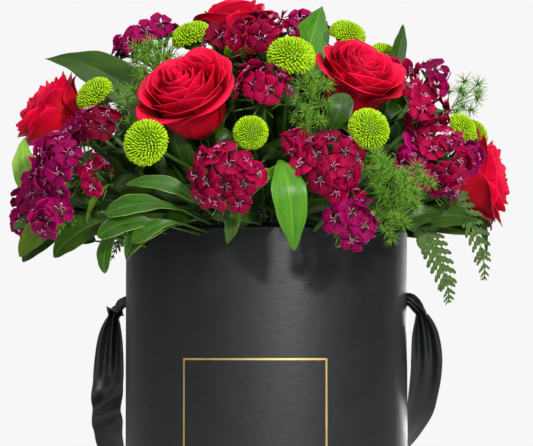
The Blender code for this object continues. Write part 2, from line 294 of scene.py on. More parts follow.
def piece(name, bm, materials, body, replaced=(), sheet=0.0, rounds=0, sharp=None):
    """The bmesh as a finished object that rides on a body and stands for frame nodes."""
    mesh = mesh_from(name, bm)
    mesh.shade_smooth()
    if sharp:
        mesh.set_sharp_from_angle(angle=radians(sharp))
    obj = scene_object(name, mesh)
    for material in materials:
        mesh.materials.append(material)
    if sheet:
        solid = obj.modifiers.new("thickness", "SOLIDIFY")
        solid.thickness = sheet
        solid.offset = 0
    if rounds:
        soft = obj.modifiers.new("rounding", "SUBSURF")
        soft.levels = soft.render_levels = rounds
    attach(obj, body)
    if replaced:
        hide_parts(*replaced)
    return obj


# ---------------------------------------------------------------- materials


class Nodes:
    """Adds nodes to one node tree, with their inputs set or joined."""

    def __init__(self, tree):
        self.tree = tree

    def add(self, kind, inputs=None, **settings):
        node = self.tree.nodes.new("ShaderNode" + kind)
        for name, value in settings.items():
            setattr(node, name, value)
        for name, value in (inputs or {}).items():
            self.put(node.inputs[name], value)
        return node

    def put(self, socket, value):
        """Joins an input to another socket, or sets it to a constant."""
        if isinstance(value, bpy.types.NodeSocket):
            self.tree.links.new(value, socket)
        elif socket.type == "RGBA":
            socket.default_value = (*value[:3], 1)
        else:
            socket.default_value = value

    def group(self, tree, inputs):
        return self.add("Group", inputs, node_tree=tree).outputs

    def shade(self, name, value):
        """Joins a value to an input of the material's shader."""
        self.put(self.tree.nodes["Principled BSDF"].inputs[name], value)

    def math(self, operation, first, second=0.0):
        return self.add("Math", {0: first, 1: second}, operation=operation).outputs[0]

    def times(self, first, second):
        return self.math("MULTIPLY", first, second)

    def plus(self, first, second):
        return self.math("ADD", first, second)

    def minus(self, first, second):
        return self.math("SUBTRACT", first, second)

    def mix(self, share, first, second, blend="MIX"):
        inputs = {0: share, 6: first, 7: second}
        return self.add("Mix", inputs, data_type="RGBA", blend_type=blend).outputs[2]

    def ramp(self, value, low, high, to_low=0.0, to_high=1.0):
        """Smoothly from to_low to to_high as value goes from low to high."""
        inputs = {"Value": value, "From Min": low, "From Max": high}
        inputs |= {"To Min": to_low, "To Max": to_high}
        return self.add("MapRange", inputs, interpolation_type="SMOOTHSTEP").outputs[0]

    def noise(self, vector, scale, detail=3.0, rough=0.5):
        inputs = {"Vector": vector, "Scale": scale, "Detail": detail, "Roughness": rough}
        return self.add("TexNoise", inputs).outputs[0]

    def scaled(self, vector, scale):
        return self.add("Mapping", {"Vector": vector, "Scale": scale}).outputs[0]

    def bump(self, height, strength, distance):
        inputs = {"Height": height, "Strength": strength, "Distance": distance}
        return self.add("Bump", inputs).outputs[0]

    def here(self):
        """The point on the piece, in metres."""
        return self.add("TexCoord").outputs["Object"]

    def layer(self, name):
        """The (across, along) of the layer as one vector."""
        return self.add("UVMap", uv_map=name).outputs[0]

    def parts(self, vector):
        return self.add("SeparateXYZ", {0: vector}).outputs

    def grey(self, level):
        return self.add("CombineColor", {0: level, 1: level, 2: level}).outputs[0]

    def spread(self):
        """Across, along and tint, then all three as one vector."""
        across, along = self.parts(self.layer("place"))[:2]
        tint = self.parts(self.layer("tint"))[0]
        whole = self.add("CombineXYZ", {0: across, 1: along, 2: tint}).outputs[0]
        return across, along, tint, whole


def shader_group(name, inputs, outputs):
    """A new node group with named inputs and outputs, its tree helper and its two ends."""
    tree = bpy.data.node_groups.new(name, "ShaderNodeTree")
    for label, kind, default in inputs:
        socket = tree.interface.new_socket(label, in_out="INPUT", socket_type=kind)
        if default is not None:
            socket.default_value = default
    for label, kind in outputs:
        tree.interface.new_socket(label, in_out="OUTPUT", socket_type=kind)
    start = tree.nodes.new("NodeGroupInput").outputs
    end = tree.nodes.new("NodeGroupOutput").inputs
    return tree, Nodes(tree), start, end


FLOAT, COLOUR, VECTOR = "NodeSocketFloat", "NodeSocketColor", "NodeSocketVector"


def grain_group():
    """Coarse cloudiness with fine grain over it, for papers, foam, board and the floor."""
    if "two scale grain" in bpy.data.node_groups:
        return bpy.data.node_groups["two scale grain"]
    tree, nodes, start, end = shader_group(
        "two scale grain",
        [("Vector", VECTOR, None), ("Coarse", FLOAT, 30.0), ("Fine", FLOAT, 900.0),
         ("Fine Share", FLOAT, 0.5)],
        [("Value", FLOAT), ("Cloud", FLOAT)],
    )
    cloud = nodes.noise(start["Vector"], start["Coarse"], 3)
    fine = nodes.noise(start["Vector"], start["Fine"], 2, 0.6)
    keep = nodes.minus(1.0, start["Fine Share"])
    value = nodes.plus(nodes.times(cloud, keep), nodes.times(fine, start["Fine Share"]))
    tree.links.new(value, end["Value"])
    tree.links.new(cloud, end["Cloud"])
    return tree


def petal_group():
    """Claw, body and lip colours along a petal, with fine veins and a tint of its own."""
    if "petal skin" in bpy.data.node_groups:
        return bpy.data.node_groups["petal skin"]
    tree, nodes, start, end = shader_group(
        "petal skin",
        [("Claw", COLOUR, None), ("Body", COLOUR, None), ("Lip", COLOUR, None),
         ("Body From", FLOAT, 0.45), ("Lip From", FLOAT, 0.75), ("Veins", FLOAT, 0.3)],
        [("Colour", COLOUR), ("Height", FLOAT)],
    )
    _, along, tint, spread = nodes.spread()
    lower = nodes.ramp(along, 0.02, start["Body From"])
    upper = nodes.ramp(along, start["Lip From"], 1.0)
    colour = nodes.mix(lower, start["Claw"], start["Body"])
    colour = nodes.mix(upper, colour, start["Lip"])
    veins = nodes.noise(nodes.scaled(spread, (26, 2.2, 40)), 1.0, 3, 0.65)
    shade = nodes.times(nodes.ramp(veins, 0.35, 0.65, 1.0, 0.0), start["Veins"])
    cloud = nodes.noise(nodes.scaled(spread, (3, 2.5, 30)), 1.0, 2)
    level = nodes.ramp(cloud, 0.3, 0.7, 0.82, 1.12)
    level = nodes.times(level, nodes.minus(1.0, shade))
    level = nodes.times(level, nodes.ramp(tint, 0.0, 1.0, 0.72, 1.22))
    tree.links.new(nodes.mix(1.0, colour, nodes.grey(level), "MULTIPLY"), end["Colour"])
    tree.links.new(veins, end["Height"])
    return tree


def leaf_group():
    """A midrib, slanting side veins, a pale edge and uneven green along a leaf."""
    if "leaf skin" in bpy.data.node_groups:
        return bpy.data.node_groups["leaf skin"]
    tree, nodes, start, end = shader_group(
        "leaf skin",
        [("Blade", COLOUR, None), ("Vein", COLOUR, None), ("Edge", COLOUR, None),
         ("Vein Count", FLOAT, 9.0), ("Vein Slant", FLOAT, 0.5), ("Vein Share", FLOAT, 0.5),
         ("Edge Share", FLOAT, 0.2)],
        [("Colour", COLOUR), ("Height", FLOAT), ("Rough", FLOAT)],
    )
    across, along, tint, spread = nodes.spread()
    out = nodes.math("ABSOLUTE", nodes.minus(nodes.times(across, 2.0), 1.0))
    rib = nodes.ramp(out, 0.03, 0.09, 1.0, 0.0)
    lean = nodes.times(nodes.math("POWER", out, 0.7), start["Vein Slant"])
    step = nodes.times(nodes.minus(along, lean), start["Vein Count"])
    wave = nodes.math("PINGPONG", step, 0.5)
    veins = nodes.ramp(wave, 0.0, 0.13, 1.0, 0.0)
    veins = nodes.times(veins, start["Vein Share"])
    mask = nodes.math("MAXIMUM", nodes.times(rib, 0.85), veins)
    edge = nodes.times(nodes.ramp(out, 0.90, 0.985), start["Edge Share"])
    cloud = nodes.noise(nodes.scaled(spread, (4, 5, 37)), 1.0, 4, 0.6)
    level = nodes.ramp(cloud, 0.25, 0.75, 0.70, 1.28)
    level = nodes.times(level, nodes.ramp(tint, 0.0, 1.0, 0.62, 1.38))
    colour = nodes.mix(1.0, start["Blade"], nodes.grey(level), "MULTIPLY")
    colour = nodes.mix(mask, colour, start["Vein"])
    colour = nodes.mix(edge, colour, start["Edge"])
    tree.links.new(colour, end["Colour"])
    tree.links.new(nodes.minus(nodes.times(cloud, 0.4), mask), end["Height"])
    tree.links.new(nodes.ramp(cloud, 0.2, 0.8, 0.30, 0.52), end["Rough"])
    return tree


def material(name, build, **sockets):
    """A material made once: build(nodes) joins its patterns, sockets set the rest."""
    if name in bpy.data.materials:
        return bpy.data.materials[name]
    made = bpy.data.materials.new(name)
    made.use_nodes = True
    nodes = Nodes(made.node_tree)
    for label, value in sockets.items():
        nodes.shade(label.replace("_", " "), value)
    build(nodes)
    return made


def scaled_tone(colour, share):
    return tuple(share * part for part in colour)


def black_paper():
    looks = bpy.context.scene.flower_box_looks

    def build(nodes):
        here = nodes.here()
        grain = nodes.group(grain_group(),
                            {"Vector": here, "Coarse": 45.0, "Fine": 1500.0, "Fine Share": 0.55})
        dark = scaled_tone(looks.paper, 0.72)
        light = scaled_tone(looks.paper, 1.35)
        colour = nodes.mix(nodes.ramp(grain["Value"], 0.3, 0.7), dark, light)
        x, y, z = nodes.parts(here)
        off_seam = nodes.math("ABSOLUTE", nodes.minus(x, 0.004))
        seam = nodes.ramp(off_seam, 0.0002, 0.0005, 1.0, 0.0)
        seam = nodes.times(seam, nodes.math("GREATER_THAN", y, BOX_RADIUS * 0.9))
        high = nodes.ramp(z, BOX_HEIGHT - 0.0022, BOX_HEIGHT - 0.0002)
        foot = nodes.ramp(z, 0.0002, 0.0022, 1.0, 0.0)
        worn = nodes.math("MAXIMUM", high, foot)
        worn = nodes.times(worn, nodes.ramp(grain["Cloud"], 0.45, 0.65))
        colour = nodes.mix(nodes.times(worn, 0.5), colour, tone(92, 92, 88))
        colour = nodes.mix(seam, colour, tone(6, 6, 6))
        nodes.shade("Base Color", colour)
        smooth, rough = looks.paper_rough - 0.05, looks.paper_rough + 0.07
        nodes.shade("Roughness", nodes.ramp(grain["Value"], 0.25, 0.75, smooth, rough))
        lumps = nodes.noise(here, 420.0, 3, 0.6)
        creases = nodes.noise(nodes.scaled(here, (1, 1, 1.7)), 120.0, 3, 0.55)
        height = nodes.plus(nodes.times(grain["Value"], 0.3), nodes.times(lumps, 0.3))
        height = nodes.plus(height, creases)
        height = nodes.minus(height, nodes.times(seam, 1.5))
        nodes.shade("Normal", nodes.bump(height, 0.32, 0.0008))

    return material("black_paper_finish", build, IOR=1.5, Specular_IOR_Level=0.42)


def lining_paper():
    def build(nodes):
        grain = nodes.group(grain_group(),
                            {"Vector": nodes.here(), "Coarse": 60.0, "Fine": 1200.0})
        nodes.shade("Base Color", nodes.mix(grain["Value"], tone(20, 20, 21), tone(44, 44, 45)))
        nodes.shade("Normal", nodes.bump(grain["Value"], 0.4, 0.0003))

    return material("lining_paper_finish", build, Roughness=0.82)


def grey_board():
    def build(nodes):
        fibres = nodes.noise(nodes.scaled(nodes.here(), (1, 1, 9)), 260.0, 4, 0.7)
        nodes.shade("Base Color", nodes.mix(fibres, tone(120, 104, 84), tone(168, 150, 124)))
        nodes.shade("Normal", nodes.bump(fibres, 0.5, 0.0003))

    return material("board_finish", build, Roughness=0.92)


def gold_foil():
    looks = bpy.context.scene.flower_box_looks

    def build(nodes):
        grain = nodes.group(grain_group(),
                            {"Vector": nodes.here(), "Coarse": 90.0, "Fine": 2200.0})
        deep = scaled_tone(looks.foil, 0.7)
        nodes.shade("Base Color", nodes.mix(grain["Value"], deep, looks.foil))
        nodes.shade("Roughness", nodes.ramp(grain["Cloud"], 0.3, 0.7, 0.46, 0.58))
        nodes.shade("Normal", nodes.bump(grain["Value"], 0.06, 0.0002))

    return material("gold_foil_finish", build, Metallic=1.0)


def satin():
    looks = bpy.context.scene.flower_box_looks

    def build(nodes):
        uv = nodes.layer("place")
        threads = nodes.noise(nodes.scaled(uv, (260, 14, 1)), 1.0, 2)
        waves = {"Vector": uv, "Scale": 420.0, "Distortion": 0.6, "Detail": 1.0}
        weft = nodes.add("TexWave", waves, wave_type="BANDS", bands_direction="Y").outputs[1]
        out = nodes.math("ABSOLUTE", nodes.minus(nodes.parts(uv)[0], 0.5))
        edge = nodes.ramp(out, 0.462, 0.482)
        body = nodes.mix(threads, scaled_tone(looks.ribbon, 0.7), looks.ribbon)
        colour = nodes.mix(nodes.times(edge, 0.7), body, tone(66, 72, 72))
        nodes.shade("Base Color", colour)
        nodes.shade("Roughness", nodes.ramp(threads, 0.3, 0.7, 0.30, 0.46))
        height = nodes.plus(nodes.times(threads, 0.6), nodes.times(weft, 0.25))
        height = nodes.plus(height, nodes.times(edge, 1.2))
        nodes.shade("Normal", nodes.bump(height, 0.35, 0.0002))

    return material("satin_finish", build, Specular_IOR_Level=0.35, Anisotropic=0.4)


def clear_film():
    def build(nodes):
        here = nodes.here()
        creases = nodes.add("TexVoronoi", {"Vector": here, "Scale": 70.0, "Randomness": 1.0},
                            feature="DISTANCE_TO_EDGE").outputs[0]
        lines = nodes.ramp(creases, 0.0, 0.12, 1.0, 0.0)
        soft = nodes.noise(here, 40.0, 3)
        nodes.shade("Base Color", nodes.mix(soft, tone(120, 130, 124), tone(170, 178, 172)))
        nodes.shade("Alpha", nodes.ramp(lines, 0.0, 1.0, 0.05, 0.16))
        nodes.shade("Roughness", nodes.ramp(soft, 0.3, 0.7, 0.06, 0.2))
        height = nodes.plus(lines, nodes.times(soft, 3.0))
        nodes.shade("Normal", nodes.bump(height, 0.6, 0.0008))

    return material("film_finish", build)


def floral_foam(name, dark, light):
    def build(nodes):
        here = nodes.here()
        grain = nodes.group(grain_group(),
                            {"Vector": here, "Coarse": 38.0, "Fine": 1400.0, "Fine Share": 0.6})
        pores = nodes.add("TexVoronoi", {"Vector": here, "Scale": 620.0}).outputs[0]
        holes = nodes.ramp(pores, 0.15, 0.5, 1.0, 0.0)
        colour = nodes.mix(nodes.ramp(grain["Value"], 0.3, 0.7), dark, light)
        # Inside the pores the colour goes towards a third of the dark green: painted shade in the pores'
        # hollows.
        colour = nodes.mix(nodes.times(holes, 0.6), colour, scaled_tone(dark, 0.3))
        nodes.shade("Base Color", colour)
        height = nodes.minus(grain["Value"], nodes.times(holes, 0.8))
        nodes.shade("Normal", nodes.bump(height, 0.7, 0.0008))

    return material(name, build, Roughness=0.93)


def petal_material(name, claw, body, lip, veins=0.25, body_from=0.45, lip_from=0.72,
                   rough=0.55, bump=0.25, gloss=0.22, eye=None):
    """A petal finish. An eye gives a pale star and a dark ring round the flower's middle."""

    def build(nodes):
        skin = nodes.group(petal_group(),
                           {"Claw": claw, "Body": body, "Lip": lip, "Veins": veins,
                            "Body From": body_from, "Lip From": lip_from})
        colour = skin["Colour"]
        if eye:
            pale, ring = eye
            across, along = nodes.parts(nodes.layer("place"))[:2]
            out = nodes.math("ABSOLUTE", nodes.minus(across, 0.5))
            reach = nodes.minus(0.40, nodes.times(out, 0.85))
            dark = nodes.ramp(nodes.minus(along, reach), 0.0, 0.2, 1.0, 0.0)
            colour = nodes.mix(nodes.times(dark, 0.7), colour, ring)
            star = nodes.minus(0.15, nodes.times(out, 0.7))
            white = nodes.ramp(nodes.minus(along, star), -0.03, 0.04, 1.0, 0.0)
            colour = nodes.mix(nodes.times(white, 0.6), colour, pale)
        nodes.shade("Base Color", colour)
        nodes.shade("Roughness", nodes.ramp(skin["Height"], 0.3, 0.7, rough - 0.08, rough + 0.1))
        nodes.shade("Normal", nodes.bump(skin["Height"], bump, 0.0005))

    return material(name, build, Specular_IOR_Level=gloss)


def leaf_material(name, blade, vein, edge, count=9.0, slant=0.5, veins=0.4, edges=0.2,
                  coat=0.0, lift=0.0):
    """A leaf finish. Its lift is added to the roughness."""

    def build(nodes):
        skin = nodes.group(leaf_group(),
                           {"Blade": blade, "Vein": vein, "Edge": edge, "Vein Count": count,
                            "Vein Slant": slant, "Vein Share": veins, "Edge Share": edges})
        nodes.shade("Base Color", skin["Colour"])
        nodes.shade("Roughness", nodes.plus(skin["Rough"], lift))
        nodes.shade("Normal", nodes.bump(skin["Height"], 0.5, 0.0006))

    return material(name, build, Coat_Weight=coat, Coat_Roughness=0.3,
                    Specular_IOR_Level=0.2)


def green_stalk():
    return leaf_material("stalk_finish", tone(58, 92, 32), tone(74, 108, 44),
                         tone(70, 100, 40), veins=0.1, edges=0.0)


# ---------------------------------------------------------------- box and handle


def turned(profile, sides=160):
    """A closed (radius, height) outline spun once round the Z axis."""
    bm = bmesh.new()
    verts = [bm.verts.new((r, 0, z)) for r, z in profile]
    edges = [bm.edges.new((a, b)) for a, b in zip(verts, verts[1:] + verts[:1])]
    bmesh.ops.spin(bm, geom=verts + edges, cent=(0, 0, 0), axis=(0, 0, 1), angle=2 * pi,
                   steps=sides, use_merge=True)
    bmesh.ops.remove_doubles(bm, verts=bm.verts, dist=1e-6)
    bmesh.ops.recalc_face_normals(bm, faces=bm.faces)
    return bm


def bored(bm, radius, height):
    """The shape with a round hole through it along X."""
    obj = scene_object("bored", mesh_from("bored", bm))
    drill = bmesh.new()
    place = Matrix.Translation((0, 0, height)) @ Matrix.Rotation(pi / 2, 4, "Y")
    bmesh.ops.create_cone(drill, cap_ends=True, segments=40, radius1=radius, radius2=radius,
                          depth=BOX_RADIUS * 3, matrix=place)
    cutter = scene_object("drill", mesh_from("drill", drill))
    cut = obj.modifiers.new("cut", "BOOLEAN")
    cut.operation = "DIFFERENCE"
    cut.solver = "EXACT"
    cut.object = cutter
    done = obj.evaluated_get(bpy.context.evaluated_depsgraph_get()).to_mesh()
    out = bmesh.new()
    out.from_mesh(done)
    for each in (obj, cutter):
        bpy.data.objects.remove(each)
    return out


def cover_piece():
    box = bpy.context.scene.flower_box_sizes
    paper, hem = box.paper, 0.0051
    inner = BOX_RADIUS - hem
    outline = [
        (BOX_RADIUS - 0.012, 0.0), (BOX_RADIUS, 0.0), (BOX_RADIUS, BOX_HEIGHT),
        (inner, BOX_HEIGHT), (inner, BOX_HEIGHT - 0.018), (inner + paper, BOX_HEIGHT - 0.018),
        (inner + paper, BOX_HEIGHT - paper), (BOX_RADIUS - paper, BOX_HEIGHT - paper),
        (BOX_RADIUS - paper, paper), (BOX_RADIUS - 0.012, paper),
    ]
    shape = []
    for k, point in enumerate(outline):
        if k in (1, 2, 3):
            a, p, b = (Vector(outline[j]) for j in (k - 1, k, k + 1))
            first = p + (a - p).normalized() * 0.0012
            last = p + (b - p).normalized() * 0.0012
            shape += [tuple(point) for point in curve_points(first, p, last, 4)]
        else:
            shape.append(point)
    bm = bored(turned(shape), HOLE_RADIUS, HOLE_HEIGHT)
    piece("cover_paper", bm, [black_paper()], "box", ["wall_cover"], sharp=40)


def foil_piece():
    radius = BOX_RADIUS + 0.0003
    sizes = bpy.context.scene.flower_box_sizes
    half = sizes.frame_side / 2 / radius
    line = sizes.frame_line
    low, high = FOIL_LOW.z, FOIL_HIGH.z
    middle, tall = (low + high) / 2, (high - low) / 2
    a, inside = half - line / radius, tall - line
    bm = bmesh.new()
    columns, rows = 60, 40
    verts = bmesh.ops.create_grid(bm, x_segments=columns, y_segments=rows, size=1)["verts"]
    edge_u, edge_v = 1 - 2 / columns, 1 - 2 / rows
    for vert in verts:
        u, v = vert.co.x, vert.co.y
        across = u / edge_u * a if abs(u) <= edge_u + 1e-6 else (half if u > 0 else -half)
        up = v / edge_v * inside if abs(v) <= edge_v + 1e-6 else (tall if v > 0 else -tall)
        vert.co = (radius * sin(across), -radius * cos(across), middle + up)
    hole = []
    for face in bm.faces:
        c = face.calc_center_median()
        if abs(c.z - middle) < inside and abs(c.x) < radius * sin(a):
            hole.append(face)
    bmesh.ops.delete(bm, geom=hole, context="FACES")
    bmesh.ops.recalc_face_normals(bm, faces=bm.faces)
    made = bmesh.ops.extrude_face_region(bm, geom=bm.faces[:])["geom"]
    for vert in (v for v in made if isinstance(v, bmesh.types.BMVert)):
        vert.co.xy *= (radius + 0.00015) / radius
    bmesh.ops.recalc_face_normals(bm, faces=bm.faces)
    piece("foil_line", bm, [gold_foil()], "box", ["foil_frame"], sharp=40)


def ribbon_piece():
    """One satin ribbon from hole to hole behind the box, gathered where it goes in."""
    sizes = bpy.context.scene.flower_box_sizes
    rings = frame_rings("ribbon_handle", Vector((-0.09, 0, HOLE_HEIGHT)), 0.0075)
    knots = [ring for ring in rings if abs(ring[0].x) < 0.106 and ring[0].z > HOLE_HEIGHT - 0.005]
    strip = [ring for ring in rings if ring not in knots]
    centres = [ring[0] for ring in strip]
    centres = [Vector((-0.104, 0, HOLE_HEIGHT))] + centres + [Vector((0.104, 0, HOLE_HEIGHT))]
    halves = [0.0035] + [ring[2] for ring in strip] + [0.0035]
    wides = [Vector((0, 0.3, 1)).normalized()] + [r[1] for r in strip] + [Vector((0, 0.3, 1))]
    for k in range(1, len(wides)):
        if wides[k].dot(wides[k - 1]) < 0:
            wides[k] = -wides[k]
    rows, columns = 300, 30
    line = smooth_line(centres, rows)
    across = smooth_line([w.normalized() for w in wides], rows)
    half = smooth_line([Vector((h, 0, 0)) for h in halves], rows)
    reach = [0.0]
    for a, b in zip(line, line[1:]):
        reach.append(reach[-1] + (b - a).length)
    total = reach[-1]

    def shape(u, v):
        k = min(round(v * rows), rows)
        ahead = (line[min(k + 1, rows)] - line[max(k - 1, 0)]).normalized()
        side = across[k] - ahead * across[k].dot(ahead)
        side.normalize()
        thin = ahead.cross(side)
        share = min(max(half[k].x / (sizes.ribbon_width / 2), 0.2), 1)
        near = min(reach[k], total - reach[k])
        folds = 2.5
        wide = share * sizes.ribbon_width / 2
        deep = sizes.ribbon_width / (2 * pi * folds) * share * sqrt(max(1 / share**2 - 1, 0)) * 1.3
        trail = 0.0016 * (1 - ease(0.02, 0.11, near))
        pleat = (deep + trail) * sin(pi * folds * u + 0.7 + 6 * near)
        cup = 0.0016 * (u * u - 0.33) * ease(0.01, 0.05, near)
        flutter = 0.0012 * noise.noise(Vector((u * 0.9, reach[k] * 26, 3.1)))
        crumple = 0.0
        kink = reach[k] - 0.098
        if abs(kink) < 0.03:
            crumple = 0.0030 * sin(kink * 260 + u * 2.1) * (1 - abs(kink) / 0.03)
        lift = pleat + cup * 1.2 + flutter + crumple
        return line[k] + side * u * wide + thin * lift

    bm = new_bmesh()
    patch(bm, columns, rows, shape)
    ribbon = piece("ribbon", bm, [satin()], "handle", ["ribbon_handle"],
                   sheet=0.00035)
    knotted = new_bmesh()
    for side in (-1, 1):
        middle = Vector((side * 0.0985, 0, HOLE_HEIGHT))
        loop = []
        for k in range(25):
            t = k / 24 * 2 * pi
            loop.append(middle + Vector((side * (0.0022 * sin(2 * t)), 0.0042 * cos(t),
                                         0.0042 * sin(t))))
        tube(knotted, loop, [(0, 0.0026), (1, 0.0026)], 8, rows=40)
        for k, turn in enumerate((-0.8, 0.6)):
            down = Vector((-side * 0.0075, 0.006 * turn, -0.010))
            tube(knotted, [middle, middle + down * 0.5 + Vector((0, 0.002 * turn, 0)),
                           middle + down], [(0, 0.0022), (0.6, 0.0030), (1, 0.0034)], 8,
                 rows=8, flat=0.3)
    knots = piece("ribbon_knots", knotted, [satin()], "handle")


# ---------------------------------------------------------------- film and foam


def film_piece():
    radius = FILM_HIGH.x - 0.007
    low, top = FILM_LOW.z, FILM_HIGH.z

    def wall(u, v):
        turn = pi * u
        z = low + (top + 0.006 - low) * v
        open_ = ease(0.235, top + 0.004, z)
        ruffle = sin(turn * 17 + 1.3) * 0.5 + sin(turn * 29 + 0.4 + 30 * z) * 0.3
        ruffle += noise.noise(Vector((cos(turn) * 6, sin(turn) * 6, z * 60))) * 0.9
        crinkle = 0.0005 * noise.noise(Vector((cos(turn) * 9, sin(turn) * 9, z * 70)))
        r = radius - 0.0004 + 0.0072 * open_ + 0.0026 * ruffle * open_ + crinkle * (1 - open_)
        z += 0.0035 * open_ * ruffle
        return Vector((r * sin(turn), -r * cos(turn), z))

    bm = new_bmesh()
    patch(bm, 240, 60, wall)

    def floor(u, v):
        turn, r = pi * u, (radius - 0.0004) * v
        return Vector((r * sin(turn), -r * cos(turn), low))

    patch(bm, 240, 6, floor)
    bmesh.ops.remove_doubles(bm, verts=bm.verts, dist=1e-4)
    bmesh.ops.recalc_face_normals(bm, faces=bm.faces)
    film = piece("film_cup", bm, [clear_film()], "arrangement", ["film_liner"],
                 sheet=0.00012)
    return film


def foam_piece(name, node, finish, crown):
    low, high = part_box(node)
    radius = high.x
    if crown:
        outline = [(0.0, low.z), (radius, low.z), (radius, high.z - 0.020),
                   (radius - 0.003, high.z - 0.009), (radius - 0.010, high.z - 0.003),
                   (radius - 0.022, high.z), (0.0, high.z)]
    else:
        outline = [(0.0, low.z), (radius - 0.001, low.z), (radius, low.z + 0.001),
                   (radius, high.z - 0.001), (radius - 0.001, high.z), (0.0, high.z)]
    bm = turned(outline, 120)
    piece(name, bm, [finish], "arrangement", [node], sharp=35)


# ---------------------------------------------------------------- roses


def petal_line(share, steps=24):
    """Radius and height along a petal's middle, in head radii, from its claw to its lip."""
    turns = [(0.0, 85 - 75 * share), (0.5, 90 - 15 * share), (0.80, 96 - 38 * share**1.4),
             (1.0, 92 - 48 * share**1.8 - 96 * share**6)]
    length = 1.50 + 0.14 * share
    r, z = 0.04 + 0.03 * share, -0.86
    line = [(r, z)]
    for k in range(steps):
        lean = radians(along_table(turns, (k + 0.5) / steps))
        r += cos(lean) * length / steps
        z += sin(lean) * length / steps
        line.append((r, z))
    return line


def line_at(line, v):
    """The point at share v of a line, going on straight past its end."""
    place = max(v, 0) * (len(line) - 1)
    k = min(int(place), len(line) - 2)
    t = place - k
    return (line[k][0] + (line[k + 1][0] - line[k][0]) * t,
            line[k][1] + (line[k + 1][1] - line[k][1]) * t)


def rose_head(bm, head, axis, radius, seed, petals=44):
    """Petals from the rolled bud to the turned-back outer ones."""
    dice = random.Random(seed)
    stand = standing(head, axis, dice.uniform(0, 2 * pi))
    for k in range(petals):
        share = (k / (petals - 1)) ** 1.05
        turn = k * radians(137.5) + dice.uniform(-0.12, 0.12)
        width = radians(68 - 8 * share + dice.uniform(-4, 4))
        line = petal_line(min(max(share + dice.uniform(-0.02, 0.02), 0), 1))
        lift = dice.uniform(-0.03, 0.03)
        point = 0.04 * ease(0.3, 0.8, share) * dice.uniform(0.4, 1.4)
        skew = dice.uniform(-0.25, 0.25)
        phase = dice.uniform(0, 6)
        tint = (dice.uniform(0.2, 0.8), share)

        def shape(u, v):
            side = abs(u)
            reach = v * (1 - 0.20 * side**2.4 + point * (1 - min(side / 0.34, 1)) ** 2 * v**3)
            r, z = line_at(line, reach)
            ruffle = 0.055 * v**4 * sin(3.1 * u + phase) + 0.026 * v**5 * sin(8 * u + 2 * phase)
            r += 0.045 * u * v + ruffle * (0.4 + share)
            r += 0.07 * share * side**3 * v**2
            z += lift * v + ruffle * 0.6 - 0.05 * share * side**3 * v**2
            angle = turn + (u + skew * (1 - u * u) * v * 0.3) * width
            r = max(r, 0.012)
            return stand @ (radius * Vector((r * cos(angle), r * sin(angle), z)))

        patch(bm, 9, 9, shape, tint)


def rose_green(bm, root, head, axis, radius, seed):
    """Stem, hip and five sepals under a rose."""
    dice = random.Random(seed + 500)
    base = head - axis * radius * 0.86
    stem(bm, root, base, 0.0024, 0.0025, 8, 4)
    hip = [base - axis * radius * 0.16, base - axis * radius * 0.05, base + axis * radius * 0.06]
    tube(bm, hip, [(0, 0.0026), (0.5, radius * 0.16), (1, radius * 0.17)], 10, rows=5)
    stand = standing(base, axis, dice.uniform(0, 6))
    for k in range(5):
        turn = k * 2 * pi / 5
        fall = dice.uniform(-0.5, 0.35)

        def shape(u, v):
            wide = 0.085 * radius * (1 - v) ** 0.7 * (0.6 + 1.2 * v * (1 - v) * 2)
            out = radius * (0.14 + 0.50 * v)
            up = radius * (0.02 + 0.30 * v * v + fall * v * v * 0.9)
            p = Vector((out, u * wide, up + 0.03 * radius * u * u))
            return stand @ (Matrix.Rotation(turn, 3, "Z") @ p)

        patch(bm, 4, 8, shape, (dice.uniform(0.3, 0.7), 0.5))


# ---------------------------------------------------------------- button chrysanthemums


def button_floret():
    """A short curled floret on Z, one unit long, with few faces."""
    bm = new_bmesh()
    points = [Vector((0, 0, 0)), Vector((0.03, 0, 0.45)), Vector((-0.01, 0, 0.8)),
              Vector((-0.10, 0, 1.0))]
    tube(bm, points, [(0, 0.14), (0.55, 0.23), (0.85, 0.21), (1, 0.10)], 5, rows=3, flat=0.75)
    return mesh_from("button_floret", bm)


def button_head(bm, head, axis, radius, seed, floret):
    """Florets packed in spirals over a ball, closed and upright in the middle."""
    dice = random.Random(seed)
    stand = standing(head, axis, dice.uniform(0, 6))
    count = 380
    for k in range(count):
        share = (k + 0.5) / count
        lean = acos(1 - 1.42 * share)
        turn = k * GOLDEN
        open_ = share**0.6
        out = Vector((sin(lean) * cos(turn), sin(lean) * sin(turn), cos(lean)))
        foot = Vector((out.x * 0.68, out.y * 0.68, out.z * 0.44 - 0.02))
        way = (out + Vector((0, 0, 0.25 * (1 - open_)))).normalized()
        way += jitter(dice, 0.12)
        long = radius * (0.27 + 0.07 * open_) * dice.uniform(0.92, 1.08)
        fat = 0.62 + 0.38 * open_
        size = Matrix.Diagonal((long * fat, long * fat, long, 1))
        matrix = standing(stand @ (foot * radius), stand.to_3x3() @ way, turn) @ size
        stamp(bm, floret, matrix, (dice.uniform(0.25, 0.75), share))
    core = bmesh.ops.create_icosphere(bm, subdivisions=2, radius=radius * 0.79)["verts"]
    squash = Matrix.Diagonal((1, 1, 0.66, 1))
    bmesh.ops.transform(bm, matrix=stand @ squash, verts=core)


def button_green(bm, root, head, axis, radius):
    """Stem and the cup of small scales under the head."""
    base = head - axis * radius * 0.55
    stem(bm, root, base, 0.0012, 0.0015, rows=4)
    cup = [base - axis * radius * 0.10, base + axis * radius * 0.1, base + axis * radius * 0.3]
    tube(bm, cup, [(0, radius * 0.2), (0.5, radius * 0.52), (1, radius * 0.7)], 12, rows=5)


# ---------------------------------------------------------------- sweet williams


